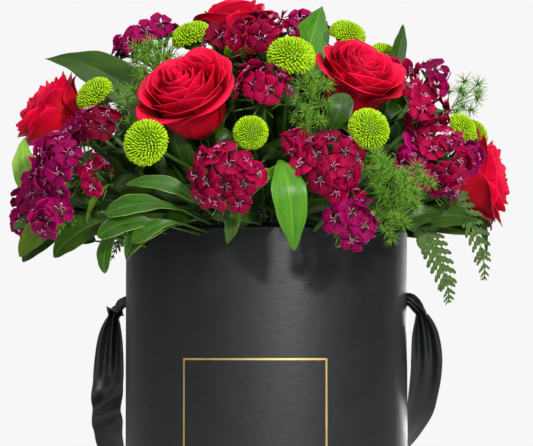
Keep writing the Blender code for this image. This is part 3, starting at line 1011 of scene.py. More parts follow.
def william_floret(seed):
    """Five toothed, overlapping petals of unit radius, and curled filaments, on Z.

    It is stamped hundreds of times, so each petal and filament has few faces.
    """
    dice = random.Random(seed)
    bm = new_bmesh()
    for k in range(5):
        turn = k * 2 * pi / 5 + dice.uniform(-0.06, 0.06)
        cup = dice.uniform(-0.08, 0.24)
        roll = dice.uniform(-0.22, 0.22)
        phase = dice.uniform(0, 6)

        def shape(u, v):
            tooth = 0.035 * (1 if round((u + 1) * 2) % 2 else -1) if v > 0.99 else 0.0
            reach = 0.05 + v * (0.92 - 0.17 * abs(u) ** 2.2) + tooth
            wide = (0.10 + 0.62 * ease(0.0, 0.85, v)) * (1 - 0.05 * v)
            x = reach * cos(u * wide * 0.95)
            y = reach * sin(u * wide * 0.95) * 1.06
            z = cup * v * v + 0.09 * sin(2.6 * u + phase) * v**2 + roll * u * v
            z += 0.10 * ease(0.0, 0.25, v) - 0.08 * v**4
            return Matrix.Rotation(turn, 3, "Z") @ Vector((x, y, z))

        patch(bm, 4, 3, shape, (0.5, 0.5))
    for k in range(4):
        turn = k * GOLDEN + dice.uniform(-0.3, 0.3)
        out = Vector((cos(turn), sin(turn), 0))
        side = Vector((-sin(turn), cos(turn), 0))
        far = dice.uniform(0.16, 0.36)
        points = [out * 0.03 + Vector((0, 0, 0.02)), out * far * 0.5 + Vector((0, 0, 0.26)),
                  out * far + side * 0.10 + Vector((0, 0, 0.34)),
                  out * far * 1.1 + side * 0.22 + Vector((0, 0, 0.24))]
        tube(bm, points, [(0, 0.011), (0.8, 0.013), (1, 0.024)], 3, slot=1, rows=2)
    return mesh_from("william_floret", bm)


def william_head(bm, green, root, head, axis, radius, seed, florets):
    """A domed cluster of florets, each on its own calyx tube, with needle bracts."""
    dice = random.Random(seed)
    across, up = side_axes(axis)
    radius *= 1.12
    count = max(4, round(1.28 * (radius / 0.0088) ** 2))
    base = head - axis * radius * 0.74
    stem(green, root, base, 0.0015, 0.0018, rows=4)
    start = dice.uniform(0, 6)
    for k in range(count):
        share = (k + 0.5) / count
        lean = acos(1 - 0.80 * share)
        turn = start + k * GOLDEN + dice.uniform(-0.2, 0.2)
        level = across * cos(turn) + up * sin(turn)
        size = 0.0112 * dice.uniform(0.85, 1.12)
        out = max(radius - size * 0.45, radius * 0.5) * sin(lean) / sin(acos(0.2))
        rise = radius * (0.10 + 0.50 * cos(lean)) + dice.uniform(-0.003, 0.003)
        place = head + level * out + axis * rise
        way = axis * cos(lean * 0.95) + level * sin(lean * 0.95)
        way += jitter(dice, 0.38)
        matrix = standing(place, way, dice.uniform(0, 6), size)
        stamp(bm, florets[k % len(florets)], matrix, (dice.uniform(0.05, 0.95), 0.5))
        throat = place - way.normalized() * 0.001
        low = throat - way.normalized() * 0.011
        joint = base + axis * radius * dice.uniform(0.0, 0.25)
        tube(green, [joint, joint.lerp(low, 0.6), low, throat],
             [(0, 0.0007), (0.55, 0.0009), (0.7, 0.0018), (0.95, 0.0014), (1, 0.0010)], 6,
             tint=(dice.uniform(0.2, 0.6), 0.9), rows=6)
    for _ in range(count * 3):
        turn, lean = dice.uniform(0, 6.3), dice.uniform(0.5, 1.5)
        level = across * cos(turn) + up * sin(turn)
        way = axis * cos(lean) + level * sin(lean)
        foot = base + level * radius * 0.35 + axis * radius * dice.uniform(0.1, 0.5)
        long = dice.uniform(0.5, 1.0) * radius * 0.75
        needle(green, foot, way, long, 0.0006, (dice.uniform(0.2, 0.9), 0.2), 1)


def needle(bm, foot, way, long, thick, tint=(0.5, 0.5), slot=0):
    """A three-sided spike."""
    matrix = standing(foot + way.normalized() * long / 2, way)
    verts = bmesh.ops.create_cone(bm, cap_ends=True, segments=3, radius1=thick,
                                  radius2=thick * 0.25, depth=long, matrix=matrix)["verts"]
    paint(bm, faces_of(verts, slot), tint)


# ---------------------------------------------------------------- leaves and fronds


OUTLINES = {
    "pointed": [(0, 0.10), (0.12, 0.55), (0.36, 1.0), (0.62, 0.86), (0.84, 0.42), (1, 0.02)],
    "long": [(0, 0.12), (0.15, 0.55), (0.45, 1.0), (0.75, 0.72), (0.92, 0.30), (1, 0.02)],
    "spoon": [(0, 0.10), (0.20, 0.34), (0.50, 0.82), (0.72, 1.0), (0.90, 0.72), (1, 0.10)],
    "hanging": [(0, 0.06), (0.30, 0.10), (0.42, 0.50), (0.58, 1.0), (0.76, 0.84), (0.92, 0.34),
                (1, 0.02)],
    "round": [(0, 0.25), (0.12, 0.70), (0.40, 1.0), (0.70, 0.95), (0.90, 0.60), (1, 0.08)],
}


def leaf_blade(bm, points, first, half, outline, fold, wave, tint, seed, columns=8, rows=18):
    """A leaf on a curved midrib: folded along it, waved at its edges."""
    line = smooth_line(points, rows)
    axes = carried_axes(line, first)
    table = OUTLINES[outline]

    def shape(u, v):
        k = min(round(v * rows), rows)
        ahead, across = axes[k]
        up = across.cross(ahead)
        wide = half * along_table(table, v)
        lift = fold * abs(u) * wide
        ripple = wave * half * abs(u) ** 1.5 * sin(9 * v + (2 if u > 0 else 0) + seed)
        ripple += 0.04 * half * noise.noise(Vector((u * 2, v * 4, seed)))
        return line[k] + across * (u * wide) + up * (lift + ripple)

    patch(bm, columns, rows, shape, tint)


def facing_side(points, facing):
    """The sideways direction of a leaf whose face looks outwards, or more to the front."""
    middle = points[len(points) // 2]
    ahead = (points[-1] - points[0]).normalized()
    outward = Vector((middle.x, middle.y, 0.09)).normalized()
    face = outward * (1 - facing) + Vector((0.1, -0.95, 0.3)) * facing
    return ahead.cross(face).normalized()


def fern_blade(bm, points, first, half, seed, pairs=15):
    """A frond: a thin rib with toothed leaflets that shorten towards its tip."""
    dice = random.Random(seed)
    steps = pairs * 2
    line = smooth_line(points, steps)
    axes = carried_axes(line, first)

    def rib(u, v):
        k = min(round(v * steps), steps)
        return line[k] + axes[k][1] * (u * (0.0009 - 0.0006 * v))

    patch(bm, 2, steps, rib)
    for k in range(1, pairs + 1):
        t = k / (pairs + 1)
        spot = min(round(t * steps), steps)
        ahead, across = axes[spot]
        up = across.cross(ahead)
        for side in (-1, 1):
            long = half * (0.35 + 0.65 * ease(0, 0.25, t)) * (1.05 - ease(0.50, 1.10, t) * 0.90)
            long *= dice.uniform(0.9, 1.12)
            way = (across * side + ahead * (0.55 + 0.5 * t)).normalized()
            droop = dice.uniform(-0.30, 0.05)
            wide = min(long * 0.50, 0.0060)

            def leaflet(u, v):
                tooth = 1.0 if round(v * 6) % 2 else 0.55
                width = wide * (1.05 - v) ** 0.6 * (tooth if abs(u) > 0.9 else 1) * (0.7 + 0.5 * v)
                middle = line[spot] + way * (long * v) + up * droop * long * v * v
                along = ahead * (u * width + 0.12 * long * v * v)
                return middle + along + up * (0.1 * wide * u * u)

            patch(bm, 4, 6, leaflet, (0.5 + dice.uniform(-0.12, 0.12), 0.5))


def feather(bm, root, head, axis, radius, seed, stars=9, needles=26):
    """A feathery sprig: branchlets that each end in a burst of fine needles."""
    dice = random.Random(seed)
    across, up = side_axes(axis)
    tip = head + axis * radius * 0.9
    stem(bm, root, tip, 0.0010, 0.0005, 5, 5)
    for k in range(stars):
        share = (k + 0.5) / stars
        turn = k * GOLDEN
        level = across * cos(turn) + up * sin(turn)
        spot = head + axis * radius * (1.25 - 2.2 * share)
        spot += level * radius * (0.25 + 0.9 * share**0.5)
        joint = head - axis * radius * (0.4 + 1.2 * share)
        tube(bm, [joint, joint.lerp(spot, 0.6), spot], [(0, 0.0005), (1, 0.0003)], 4, rows=3)
        for n in range(needles):
            lean = acos(1 - 1.35 * (n + 0.5) / needles)
            spin = n * GOLDEN + k
            out = (spot - joint).normalized()
            a, b = side_axes(out)
            way = out * cos(lean) + (a * cos(spin) + b * sin(spin)) * sin(lean)
            long = radius * dice.uniform(0.55, 0.78)
            needle(bm, spot - out * dice.uniform(0, 0.25) * radius, way, long, 0.00034,
                   (dice.uniform(0.25, 0.8), 0.3))


# ---------------------------------------------------------------- sizes and looks


def length_value(label, note, default):
    return bpy.props.FloatProperty(name=label, description=note, default=default, min=0.0,
                                   precision=4, unit="LENGTH")


def colour_value(label, note, default):
    return bpy.props.FloatVectorProperty(name=label, description=note, default=default, size=3,
                                         min=0.0, max=1.0, subtype="COLOR")


def share_value(label, note, default):
    return bpy.props.FloatProperty(name=label, description=note, default=default, min=0.0,
                                   max=1.0, subtype="FACTOR")


def power_value(label, default):
    return bpy.props.FloatProperty(name=label, description="Watts", default=default, min=0,
                                   unit="POWER")


class FlowerBoxSizes(bpy.types.PropertyGroup):
    """Sizes of the sheets that are cut and folded."""

    paper: length_value("Paper", "Thickness of the cover paper", 0.0005)
    frame_line: length_value("Foil line", "Width of the foil line", 0.0015)
    frame_side: length_value("Foil side", "Side of the foil frame, round the wall",
                             FOIL_HIGH.z - FOIL_LOW.z)
    ribbon_width: length_value("Ribbon width", "Width of the flat ribbon", 0.025)
    film_cut: length_value("Film", "Side of the square of film that lines the box", 0.45)


class FlowerBoxLooks(bpy.types.PropertyGroup):
    """Colours and finishes."""

    paper: colour_value("Paper", "Black cover paper", tone(15, 16, 16))
    paper_rough: share_value("Paper roughness", "How matt the cover paper is", 0.50)
    foil: colour_value("Foil", "Gold foil", tone(214, 186, 124))
    ribbon: colour_value("Ribbon", "Black satin ribbon", tone(23, 26, 27))
    rose: colour_value("Rose", "Body of a rose petal", tone(198, 0, 30))
    # The lip colour is lighter than the body: partly the lips' own pinker red, partly painted highlight
    # where the turned-back lips catch the light.
    rose_lip: colour_value("Rose lip", "Turned-back lip of a rose petal", tone(234, 6, 62))
    button: colour_value("Button flower", "Tips of the green florets", tone(200, 226, 22))
    william: colour_value("Sweet william", "Body of its petals", tone(150, 0, 52))
    leaf: colour_value("Leaf", "Broad leaves", tone(58, 96, 10))
    fern: colour_value("Fern", "Fern fronds", tone(70, 96, 40))


class FlowerBoxStage(bpy.types.PropertyGroup):
    """Camera, lights and floor."""

    camera_turn: bpy.props.FloatProperty(name="Camera turn", description="Round the box",
                                         default=radians(5.1), unit="ROTATION")
    camera_away: length_value("Camera away", "From the axis of the box", 2.27)
    camera_height: length_value("Camera height", "Above the floor", 0.158)
    aim_height: length_value("Aim height", "Height that the camera looks at", 0.2575)
    lens: bpy.props.FloatProperty(name="Lens", description="Focal length in millimetres",
                                  default=195.8, min=10)
    key_power: power_value("Key light", 42)
    front_power: power_value("Front fill", 10)
    top_power: power_value("Top light", 24)
    edge_power: power_value("Edge light", 16)
    left_power: power_value("Left fill", 5)


# Leaves that have no frame node of their own. Each has where it starts, bends and ends, as
# azimuth, elevation and distance from the high centre, then its half width, its outline,
# its kind of green and its tint.
LOOSE_LEAVES = {
    "rim_leaf_1": ((-18, 17, 0.168), (-25, 18, 0.19), (-35, 14, 0.19), 0.0088, "spoon", "edged", 0.55),
    "rim_leaf_2": ((-22, 13, 0.166), (-29, 14, 0.188), (-37, 9, 0.188), 0.009, "spoon", "edged", 0.5),
    "rim_leaf_3": ((-19, 14, 0.164), (-23, 13, 0.178), (-29, 8, 0.178), 0.007, "spoon", "edged", 0.6),
    "rim_leaf_4": ((-14, 19, 0.166), (-19, 23, 0.19), (-29, 20, 0.196), 0.0068, "long", "edged", 0.5),
    "side_leaf_1": ((-60, 15, 0.166), (-62, 15, 0.19), (-68, 5, 0.198), 0.0125, "round", "olive", 0.6),
    "side_leaf_2": ((-46, 16, 0.157), (-49, 13, 0.178), (-56, 5, 0.184), 0.011, "round", "dark", 0.4),
    "side_leaf_3": ((-38, 14, 0.16), (-40, 10, 0.176), (-41, 1, 0.167), 0.0066, "spoon", "edged", 0.4),
    "side_leaf_4": ((-69, 13, 0.186), (-70, 14, 0.196), (-71, 11, 0.204), 0.0055, "round", "dark", 0.6),
    "side_leaf_5": ((-74, 20, 0.186), (-73, 23, 0.212), (-74, 30, 0.22), 0.0115, "pointed", "pale", 0.75),
    "crown_leaf": ((25, 38, 0.178), (27, 40, 0.196), (28, 44, 0.196), 0.0105, "round", "dark", 0.45),
    "left_fill_1": ((-48, 18, 0.14), (-50, 22, 0.17), (-56, 26, 0.178), 0.012, "pointed", "dark", 0.4),
    "left_fill_2": ((-60, 26, 0.136), (-64, 32, 0.168), (-70, 34, 0.176), 0.012, "pointed", "dark", 0.3),
    "left_fill_3": ((-44, 34, 0.14), (-46, 42, 0.172), (-52, 48, 0.18), 0.012, "pointed", "dark", 0.3),
    "left_fill_4": ((-66, 12, 0.142), (-70, 14, 0.17), (-76, 16, 0.18), 0.0115, "pointed", "dark", 0.4),
    "right_fill_1": ((44, 14, 0.15), (50, 17, 0.172), (56, 16, 0.176), 0.009, "pointed", "dark", 0.4),
    "right_fill_2": ((58, 16, 0.146), (64, 18, 0.172), (72, 14, 0.18), 0.0105, "pointed", "dark", 0.5),
    "right_fill_3": ((60, 30, 0.14), (62, 34, 0.168), (66, 36, 0.176), 0.01, "pointed", "dark", 0.3),
    "front_fold_leaf": ((7, 25, 0.178), (4, 24, 0.192), (0, 17, 0.182), 0.0075, "long", "bright", 0.6),
    "front_blade": ((4, 24, 0.176), (7, 25, 0.188), (12, 25, 0.187), 0.003, "long", "olive", 0.9),
    "front_dark_leaf": ((-6, 20, 0.16), (-2, 14, 0.178), (-5, 8, 0.166), 0.0068, "long", "dark", 0.6),
    "pale_blade": ((-49, 14, 0.172), (-44, 19, 0.184), (-38, 22, 0.184), 0.0028, "long", "olive", 1.0),
    "back_leaf_1": ((150, 18, 0.15), (152, 22, 0.195), (157, 8, 0.196), 0.0135, "pointed", "dark", 0.5),
    "back_leaf_2": ((-152, 20, 0.15), (-156, 24, 0.196), (-160, 8, 0.196), 0.0135, "round", "bright", 0.4),
    "back_leaf_3": ((-100, 20, 0.15), (-104, 22, 0.198), (-108, 8, 0.2), 0.013, "spoon", "dark", 0.5),
    "back_leaf_4": ((108, 18, 0.15), (110, 20, 0.19), (112, 6, 0.186), 0.012, "pointed", "dark", 0.45),
    "back_leaf_5": ((176, 48, 0.16), (172, 62, 0.205), (-176, 70, 0.222), 0.0125, "pointed", "bright", 0.5),
    "back_leaf_6": ((-112, 40, 0.16), (-114, 46, 0.205), (-120, 42, 0.226), 0.012, "pointed", "dark", 0.5),
    "back_leaf_7": ((128, 40, 0.16), (126, 48, 0.205), (130, 44, 0.224), 0.012, "pointed", "dark", 0.5),
}
# How far the loose leaves turn their faces to the front, by the first word of their names.
LOOSE_FACING = {"left": 0.6, "right": 0.6, "back": 0.0}
# The frame's leaves: outline, kind of green, turn to the front, fold and tint.
FRAME_LEAVES = {
    "leaf_top_left": ("pointed", "dark", 0.8, 0.20, 0.55),
    "leaf_front": ("hanging", "bright", 0.9, 0.10, 0.62),
    "leaf_top": ("pointed", "bright", 0.8, 0.25, 0.50),
    "leaf_right_top": ("long", "dark", 0.8, 0.35, 0.40),
    "leaf_left": ("pointed", "pale", 0.7, 0.15, 0.6),
    "leaf_front_left": ("long", "edged", 0.8, 0.20, 0.5),
    "leaf_low_left": ("spoon", "dark", 0.8, 0.20, 0.5),
    "leaf_back": ("pointed", "dark", 0.0, 0.20, 0.5),
}
# How the fronds at the right hang over the rim.
FROND_ROUTES = {
    "fern_front_right": ((55, 19, 0.140), (60, 17, 0.144), (64, 12, 0.147), (69, 5, 0.148),
                         (74, -3, 0.149), (77, -7, 0.148)),
    "fern_right": ((72, 24, 0.150), (75, 24, 0.160), (78, 19, 0.167), (82, 12, 0.170),
                   (86, 4, 0.171), (88, 0, 0.170)),
}
# Smaller sweet williams that fill the clusters out: azimuth, elevation, distance, radius and
# which of the three reds.
LOOSE_WILLIAMS = [
    (-53, 36, 0.192, 0.015, 1), (-74, 30, 0.19, 0.017, 1), (-86, 22, 0.19, 0.015, 1),
    (-65, 22, 0.19, 0.018, 1), (-43, 24, 0.184, 0.014, 0), (-16, 61, 0.198, 0.015, 2),
    (12, 66, 0.2, 0.013, 0), (82, 50, 0.2, 0.016, 1), (62, 52, 0.196, 0.014, 0),
    (44, 24, 0.188, 0.017, 1), (65, 28, 0.19, 0.016, 1), (24, 18, 0.186, 0.013, 0),
    (13, 30, 0.19, 0.012, 0), (-99, 52, 0.196, 0.018, 1), (-160, 62, 0.198, 0.02, 0),
    (150, 62, 0.196, 0.02, 1), (-176, 30, 0.19, 0.018, 0), (128, 50, 0.194, 0.018, 0),
    (-128, 50, 0.194, 0.02, 1), (-52, 13, 0.192, 0.015, 1), (-58, 28, 0.192, 0.015, 1),
    (48, 30, 0.184, 0.014, 1), (55, 22, 0.182, 0.014, 1), (58, 39, 0.188, 0.013, 0),
]
# Feathery sprigs beside those of the frame: azimuth, elevation, distance and radius.
LOOSE_SPRIGS = [
    (-39, 42, 0.196, 0.012), (16, 34, 0.2, 0.011), (31, 24, 0.2, 0.011),
    (34, 12, 0.192, 0.012), (31, 21, 0.203, 0.012), (40, 20, 0.202, 0.012),
    (36, 15, 0.2, 0.011), (-50, 60, 0.198, 0.011), (160, 60, 0.198, 0.012),
    (-175, 34, 0.194, 0.011), (136, 54, 0.198, 0.011), (-100, 34, 0.198, 0.011),
]


# Kinds of green: blade, vein and edge colours, then vein count, vein slant, share of the
# veins and share of the edge, coat and lift. The dark blade is half the leaf colour.
GREENS = {
    "bright": (tone(56, 108, 0), tone(86, 136, 8), tone(140, 164, 48), 7.0, 0.75, 0.28, 0.10, 0.1),
    "dark": (None, tone(62, 92, 22), tone(84, 108, 36), 9.0, 0.45, 0.22, 0.10, 0.1),
    "pale": (tone(108, 146, 44), tone(140, 174, 80), tone(150, 176, 90), 8.0, 0.5, 0.35, 0.1,
             0.0, 0.1),
    "olive": (tone(80, 106, 16), tone(106, 130, 40), tone(136, 146, 70), 8.0, 0.5, 0.30, 0.15,
              0.1),
    "edged": (tone(42, 82, 8), tone(72, 112, 26), tone(158, 180, 78), 9.0, 0.5, 0.20, 0.8, 0.1),
}


def leaf_kind(kind):
    """The finish of one kind of green."""
    blade, *rest = GREENS[kind]
    blade = blade or scaled_tone(bpy.context.scene.flower_box_looks.leaf, 0.50)
    return leaf_material(f"{kind}_leaf_finish", blade, *rest)


def fern_finish():
    looks = bpy.context.scene.flower_box_looks
    return leaf_material("fern_finish", tuple(looks.fern), tone(100, 122, 66), tone(86, 112, 52),
                         6.0, 0.4, 0.3, 0.1, lift=0.12)


def sprig_finish():
    return leaf_material("sprig_finish", tone(104, 150, 44), tone(110, 158, 50),
                         tone(110, 158, 50), veins=0.0, edges=0.0, lift=0.15)


# ---------------------------------------------------------------- operators


class FLOWERBOX_OT_papers(bpy.types.Operator):
    """Build the cover paper and the lining, and finish the boards"""

    bl_idname = "flower_box.papers"
    bl_label = "Box and papers"

    def execute(self, context):
        cover_piece()
        low, high, out = LINING_LOW.z, LINING_HIGH.z, LINING_HIGH.x
        inner = out - LINING_THICK
        outline = [(inner, low), (out, low), (out, high), (inner, high)]
        bm = bored(turned(outline), HOLE_RADIUS, HOLE_HEIGHT)
        piece("lining_paper", bm, [lining_paper()], "box", ["wall_lining"],
              sharp=40)
        for node, finish in (("box_wall", grey_board()), ("base_board", grey_board()),
                             ("base_paper", black_paper())):
            for slot in frame["nodes"][node].material_slots:
                slot.material = finish
        return {"FINISHED"}


class FLOWERBOX_OT_foil(bpy.types.Operator):
    """Build the rectangular line of gold foil on the front"""

    bl_idname = "flower_box.foil"
    bl_label = "Foil frame"

    def execute(self, context):
        foil_piece()
        return {"FINISHED"}


class FLOWERBOX_OT_ribbon(bpy.types.Operator):
    """Build the satin ribbon handle and its knots"""

    bl_idname = "flower_box.ribbon"
    bl_label = "Ribbon handle"

    def execute(self, context):
        ribbon_piece()
        return {"FINISHED"}


class FLOWERBOX_OT_film_and_foam(bpy.types.Operator):
    """Build the clear film cup and the two blocks of foam in it"""

    bl_idname = "flower_box.film_and_foam"
    bl_label = "Film and foam"

    def execute(self, context):
        film_piece()
        foam_piece("foam_top_block", "foam_upper",
                   floral_foam("soaked_foam_finish", tone(18, 36, 22), tone(40, 66, 40)), True)
        foam_piece("foam_bottom_block", "foam_lower",
                   floral_foam("dry_foam_finish", tone(70, 110, 62), tone(104, 146, 88)), False)
        return {"FINISHED"}


class FLOWERBOX_OT_roses(bpy.types.Operator):
    """Build the red roses"""

    bl_idname = "flower_box.roses"
    bl_label = "Roses"

    def execute(self, context):
        looks = context.scene.flower_box_looks
        # Past lip_from the petals take the lighter lip colour, which is partly painted highlight on the
        # turned-back lips.
        body, lip = tuple(looks.rose), tuple(looks.rose_lip)
        # The claw colour, a quarter of the body red, runs up to body_from. It is painted shade deep in the
        # rose's cup.
        petals = petal_material("rose_finish", scaled_tone(body, 0.25), body, lip,
                                veins=0.16, body_from=0.62, lip_from=0.80)
        for k in range(1, 8):
            node = f"rose_{k}"
            root, head, axis, radius = flower_place(node, 0.66)
            radius *= 1.09
            head -= axis * 0.002
            bm = new_bmesh()
            rose_head(bm, head, axis, radius, k)
            piece(f"rose_petals_{k}", bm, [petals], "arrangement", [node],
                  sheet=0.0005, rounds=1)
            bm = new_bmesh()
            rose_green(bm, root, head, axis, radius, k)
            piece(f"rose_stem_{k}", bm, [green_stalk()], "arrangement",
                  sheet=LEAF_THICK)
        return {"FINISHED"}


class FLOWERBOX_OT_buttons(bpy.types.Operator):
    """Build the green button chrysanthemums"""

    bl_idname = "flower_box.buttons"
    bl_label = "Button chrysanthemums"

    def execute(self, context):
        tip = tuple(context.scene.flower_box_looks.button)
        finish = petal_material("button_finish", tone(108, 148, 6), tone(158, 200, 10), tip,
                                veins=0.1, body_from=0.5, lip_from=0.6, rough=0.6)
        floret = button_floret()
        for k in range(1, 13):
            node = f"button_chrysanthemum_{k:02d}"
            root, head, axis, radius = flower_place(node, 0.70)
            bm = new_bmesh()
            button_head(bm, head, axis, radius, k, floret)
            piece(f"button_florets_{k:02d}", bm, [finish], "arrangement", [node])
            bm = new_bmesh()
            button_green(bm, root, head, axis, radius)
            piece(f"button_stem_{k:02d}", bm, [green_stalk()], "arrangement")
        return {"FINISHED"}


class FLOWERBOX_OT_williams(bpy.types.Operator):
    """Build the clusters of sweet williams"""

    bl_idname = "flower_box.williams"
    bl_label = "Sweet williams"

    def execute(self, context):
        body = tuple(context.scene.flower_box_looks.william)
        eye = (tone(232, 124, 180), tone(96, 0, 36))
        finishes = [
            petal_material(f"william_{name}_finish", *red, veins=0.4, body_from=0.4,
                           lip_from=0.86, gloss=0.07, eye=eye)
            for name, *red in (
                ("crimson", tone(100, 0, 32), body, tone(186, 0, 78)),
                ("magenta", tone(90, 0, 42), tone(140, 0, 72), tone(182, 2, 106)),
                ("dark", tone(60, 0, 16), tone(122, 0, 36), tone(150, 0, 56)),
            )
        ]
        hair = petal_material("filament_finish", tone(206, 84, 150), tone(232, 140, 190),
                              tone(250, 205, 228), veins=0.0, rough=0.5)
        bract = leaf_material("bract_finish", tone(126, 152, 62), tone(140, 160, 70),
                              tone(140, 160, 70), veins=0.0, edges=0.0, lift=0.15)
        florets = [william_floret(seed) for seed in range(4)]
        colours = [1, 1, 2, 1, 0, 0, 0, 0, 1, 0, 0, 1, 0, 1, 0]

        def cluster(names, place, seed, colour, replaced=()):
            bm, green = new_bmesh(), new_bmesh()
            william_head(bm, green, *place, seed, florets)
            piece(names[0], bm, [finishes[colour], hair], "arrangement",
                  replaced, sheet=FLORET_THICK)
            piece(names[1], green, [green_stalk(), bract], "arrangement")

        for k in range(1, 16):
            node = f"sweet_william_{k:02d}"
            root, head, axis, radius = flower_place(node, 0.68)
            head -= axis * 0.008 * ease(0.6, 0.85, axis.z)
            names = (f"william_florets_{k:02d}", f"william_stalks_{k:02d}")
            cluster(names, (root, head, axis, radius), k, colours[k - 1], [node])
        for k, (azimuth, elevation, distance, radius, colour) in enumerate(LOOSE_WILLIAMS, 1):
            head = polar(azimuth, elevation, distance)
            axis = (head - HIGH_CENTRE).normalized()
            names = (f"loose_william_{k:02d}", f"loose_stalks_{k:02d}")
            place = (HIGH_CENTRE + axis * 0.08, head, axis, radius)
            cluster(names, place, k + 30, colour)
        return {"FINISHED"}


class FLOWERBOX_OT_leaves(bpy.types.Operator):
    """Build the broad leaves"""

    bl_idname = "flower_box.leaves"
    bl_label = "Broad leaves"

    def execute(self, context):
        stalks = new_bmesh()
        for k, (node, look) in enumerate(FRAME_LEAVES.items()):
            outline, kind, facing, fold, tint = look
            rings = frame_rings(node)
            half = max(ring[2] for ring in rings)
            points = [ring[0] for ring in rings[1:]]
            if node == "leaf_front":
                points = [polar(*p) for p in ((8, 25, 0.160), (8, 27, 0.184), (9, 24, 0.195),
                                              (10, 18, 0.196), (11, 12, 0.186), (12, 6, 0.170))]
            if node == "leaf_top":
                half *= 1.4
            bm = new_bmesh()
            first = facing_side(points, facing)
            leaf_blade(bm, points, first, half, outline, fold, 0.06, (tint, 0.5), k)
            piece(f"{node}_blade", bm, [leaf_kind(kind)], "arrangement", [node],
                  sheet=LEAF_THICK, rounds=1)
            stem(stalks, rings[0][0], points[0], 0.0010, 0.0010)
        for k, (name, look) in enumerate(LOOSE_LEAVES.items()):
            start, bend, tip, half, outline, kind, tint = look
            a = polar(*start)
            points = curve_points(a, polar(*bend), polar(*tip), 5)
            first = facing_side(points, LOOSE_FACING.get(name.split("_")[0], 0.8))
            bm = new_bmesh()
            leaf_blade(bm, points, first, half, outline, 0.16, 0.07, (tint, 0.5), k + 20)
            piece(name, bm, [leaf_kind(kind)], "arrangement", sheet=LEAF_THICK, rounds=1)
            root = HEART + (a - HEART).normalized() * 0.06
            stem(stalks, root, a, 0.0010, 0.0008)
        piece("leaf_stalks", stalks, [green_stalk()], "arrangement")
        return {"FINISHED"}


class FLOWERBOX_OT_ferns(bpy.types.Operator):
    """Build the fern fronds"""

    bl_idname = "flower_box.ferns"
    bl_label = "Fern fronds"

    def execute(self, context):
        stalks = new_bmesh()
        for k, node in enumerate(("fern_front_right", "fern_right", "fern_back")):
            rings = frame_rings(node)
            half = max(ring[2] for ring in rings)
            points = [ring[0] for ring in rings[1:]]
            bm = new_bmesh()
            if node in FROND_ROUTES:
                points = [polar(*place) for place in FROND_ROUTES[node]]
                half *= 1.2
            first = facing_side(points, (1.0, 1.0, 0.0)[k])
            fern_blade(bm, points, first, half, k)
            piece(f"{node}_frond", bm, [fern_finish()], "arrangement", [node],
                  sheet=0.0003)
            stem(stalks, rings[0][0], points[0], 0.0010, 0.0009)
        piece("fern_stalks", stalks, [green_stalk()], "arrangement")
        return {"FINISHED"}


class FLOWERBOX_OT_sprigs(bpy.types.Operator):
    """Build the feathery sprigs"""

    bl_idname = "flower_box.sprigs"
    bl_label = "Feathery sprigs"

    def execute(self, context):
        for k in range(1, 6):
            node = f"asparagus_sprig_{k}"
            root, head, axis, radius = flower_place(node, 1.5)
            bm = new_bmesh()
            feather(bm, root, head, axis, radius, k, stars=10, needles=30)
            piece(f"sprig_needles_{k}", bm, [sprig_finish()], "arrangement", [node])
        for k, place in enumerate(LOOSE_SPRIGS, 1):
            head = polar(*place[:3])
            axis = (head - HIGH_CENTRE).normalized()
            bm = new_bmesh()
            feather(bm, HIGH_CENTRE + axis * 0.07, head, axis, place[3], k + 40, 8, 28)
            piece(f"loose_sprig_{k}", bm, [sprig_finish()], "arrangement")
        return {"FINISHED"}


class FLOWERBOX_OT_filler(bpy.types.Operator):
    """Build the dark foliage and stalks between the flowers"""

    bl_idname = "flower_box.filler"
    bl_label = "Filler foliage"

    def execute(self, context):
        dice = random.Random(77)
        bm = new_bmesh()
        stalks = new_bmesh()
        count = 270
        for k in range(count):
            turn = k * GOLDEN
            lean = radians(2 + 84 * ((k + 0.5) / count) ** 1.25)
            way = outward(turn, lean)
            side, up = side_axes(way)
            drift = side * dice.uniform(-1, 1) + up * dice.uniform(-0.8, 0.8)
            drift.normalize()
            middle = HIGH_CENTRE + Vector((0, 0, 0.012))
            more = 0.020 * ease(-0.25, 0.25, way.y)
            foot = middle + way * dice.uniform(0.095, 0.115)
            bend = middle + way * (more + dice.uniform(0.152, 0.170))
            end = middle + way * (more + dice.uniform(0.146, 0.164))
            end += drift * dice.uniform(0.024, 0.040)
            for point in (foot, bend, end):
                point.z = max(point.z, BOX_HEIGHT + 0.006 + 0.03 * (k % 5) / 5)
            points = curve_points(foot, bend, end, 4)
            first = way.cross(drift).normalized()
            half, tint = dice.uniform(0.008, 0.0125), dice.uniform(0.0, 0.45)
            leaf_blade(bm, points, first, half, "pointed", 0.2, 0.10, (tint, 0.5), k, 4, 10)
            root = HEART + (foot - HEART) * 0.6
            stem(stalks, root, foot, 0.0009, 0.0008, 5)
        piece("filler_leaves", bm, [leaf_kind("dark")], "arrangement", sheet=0.0003)
        piece("filler_stalks", stalks, [green_stalk()], "arrangement")
        return {"FINISHED"}


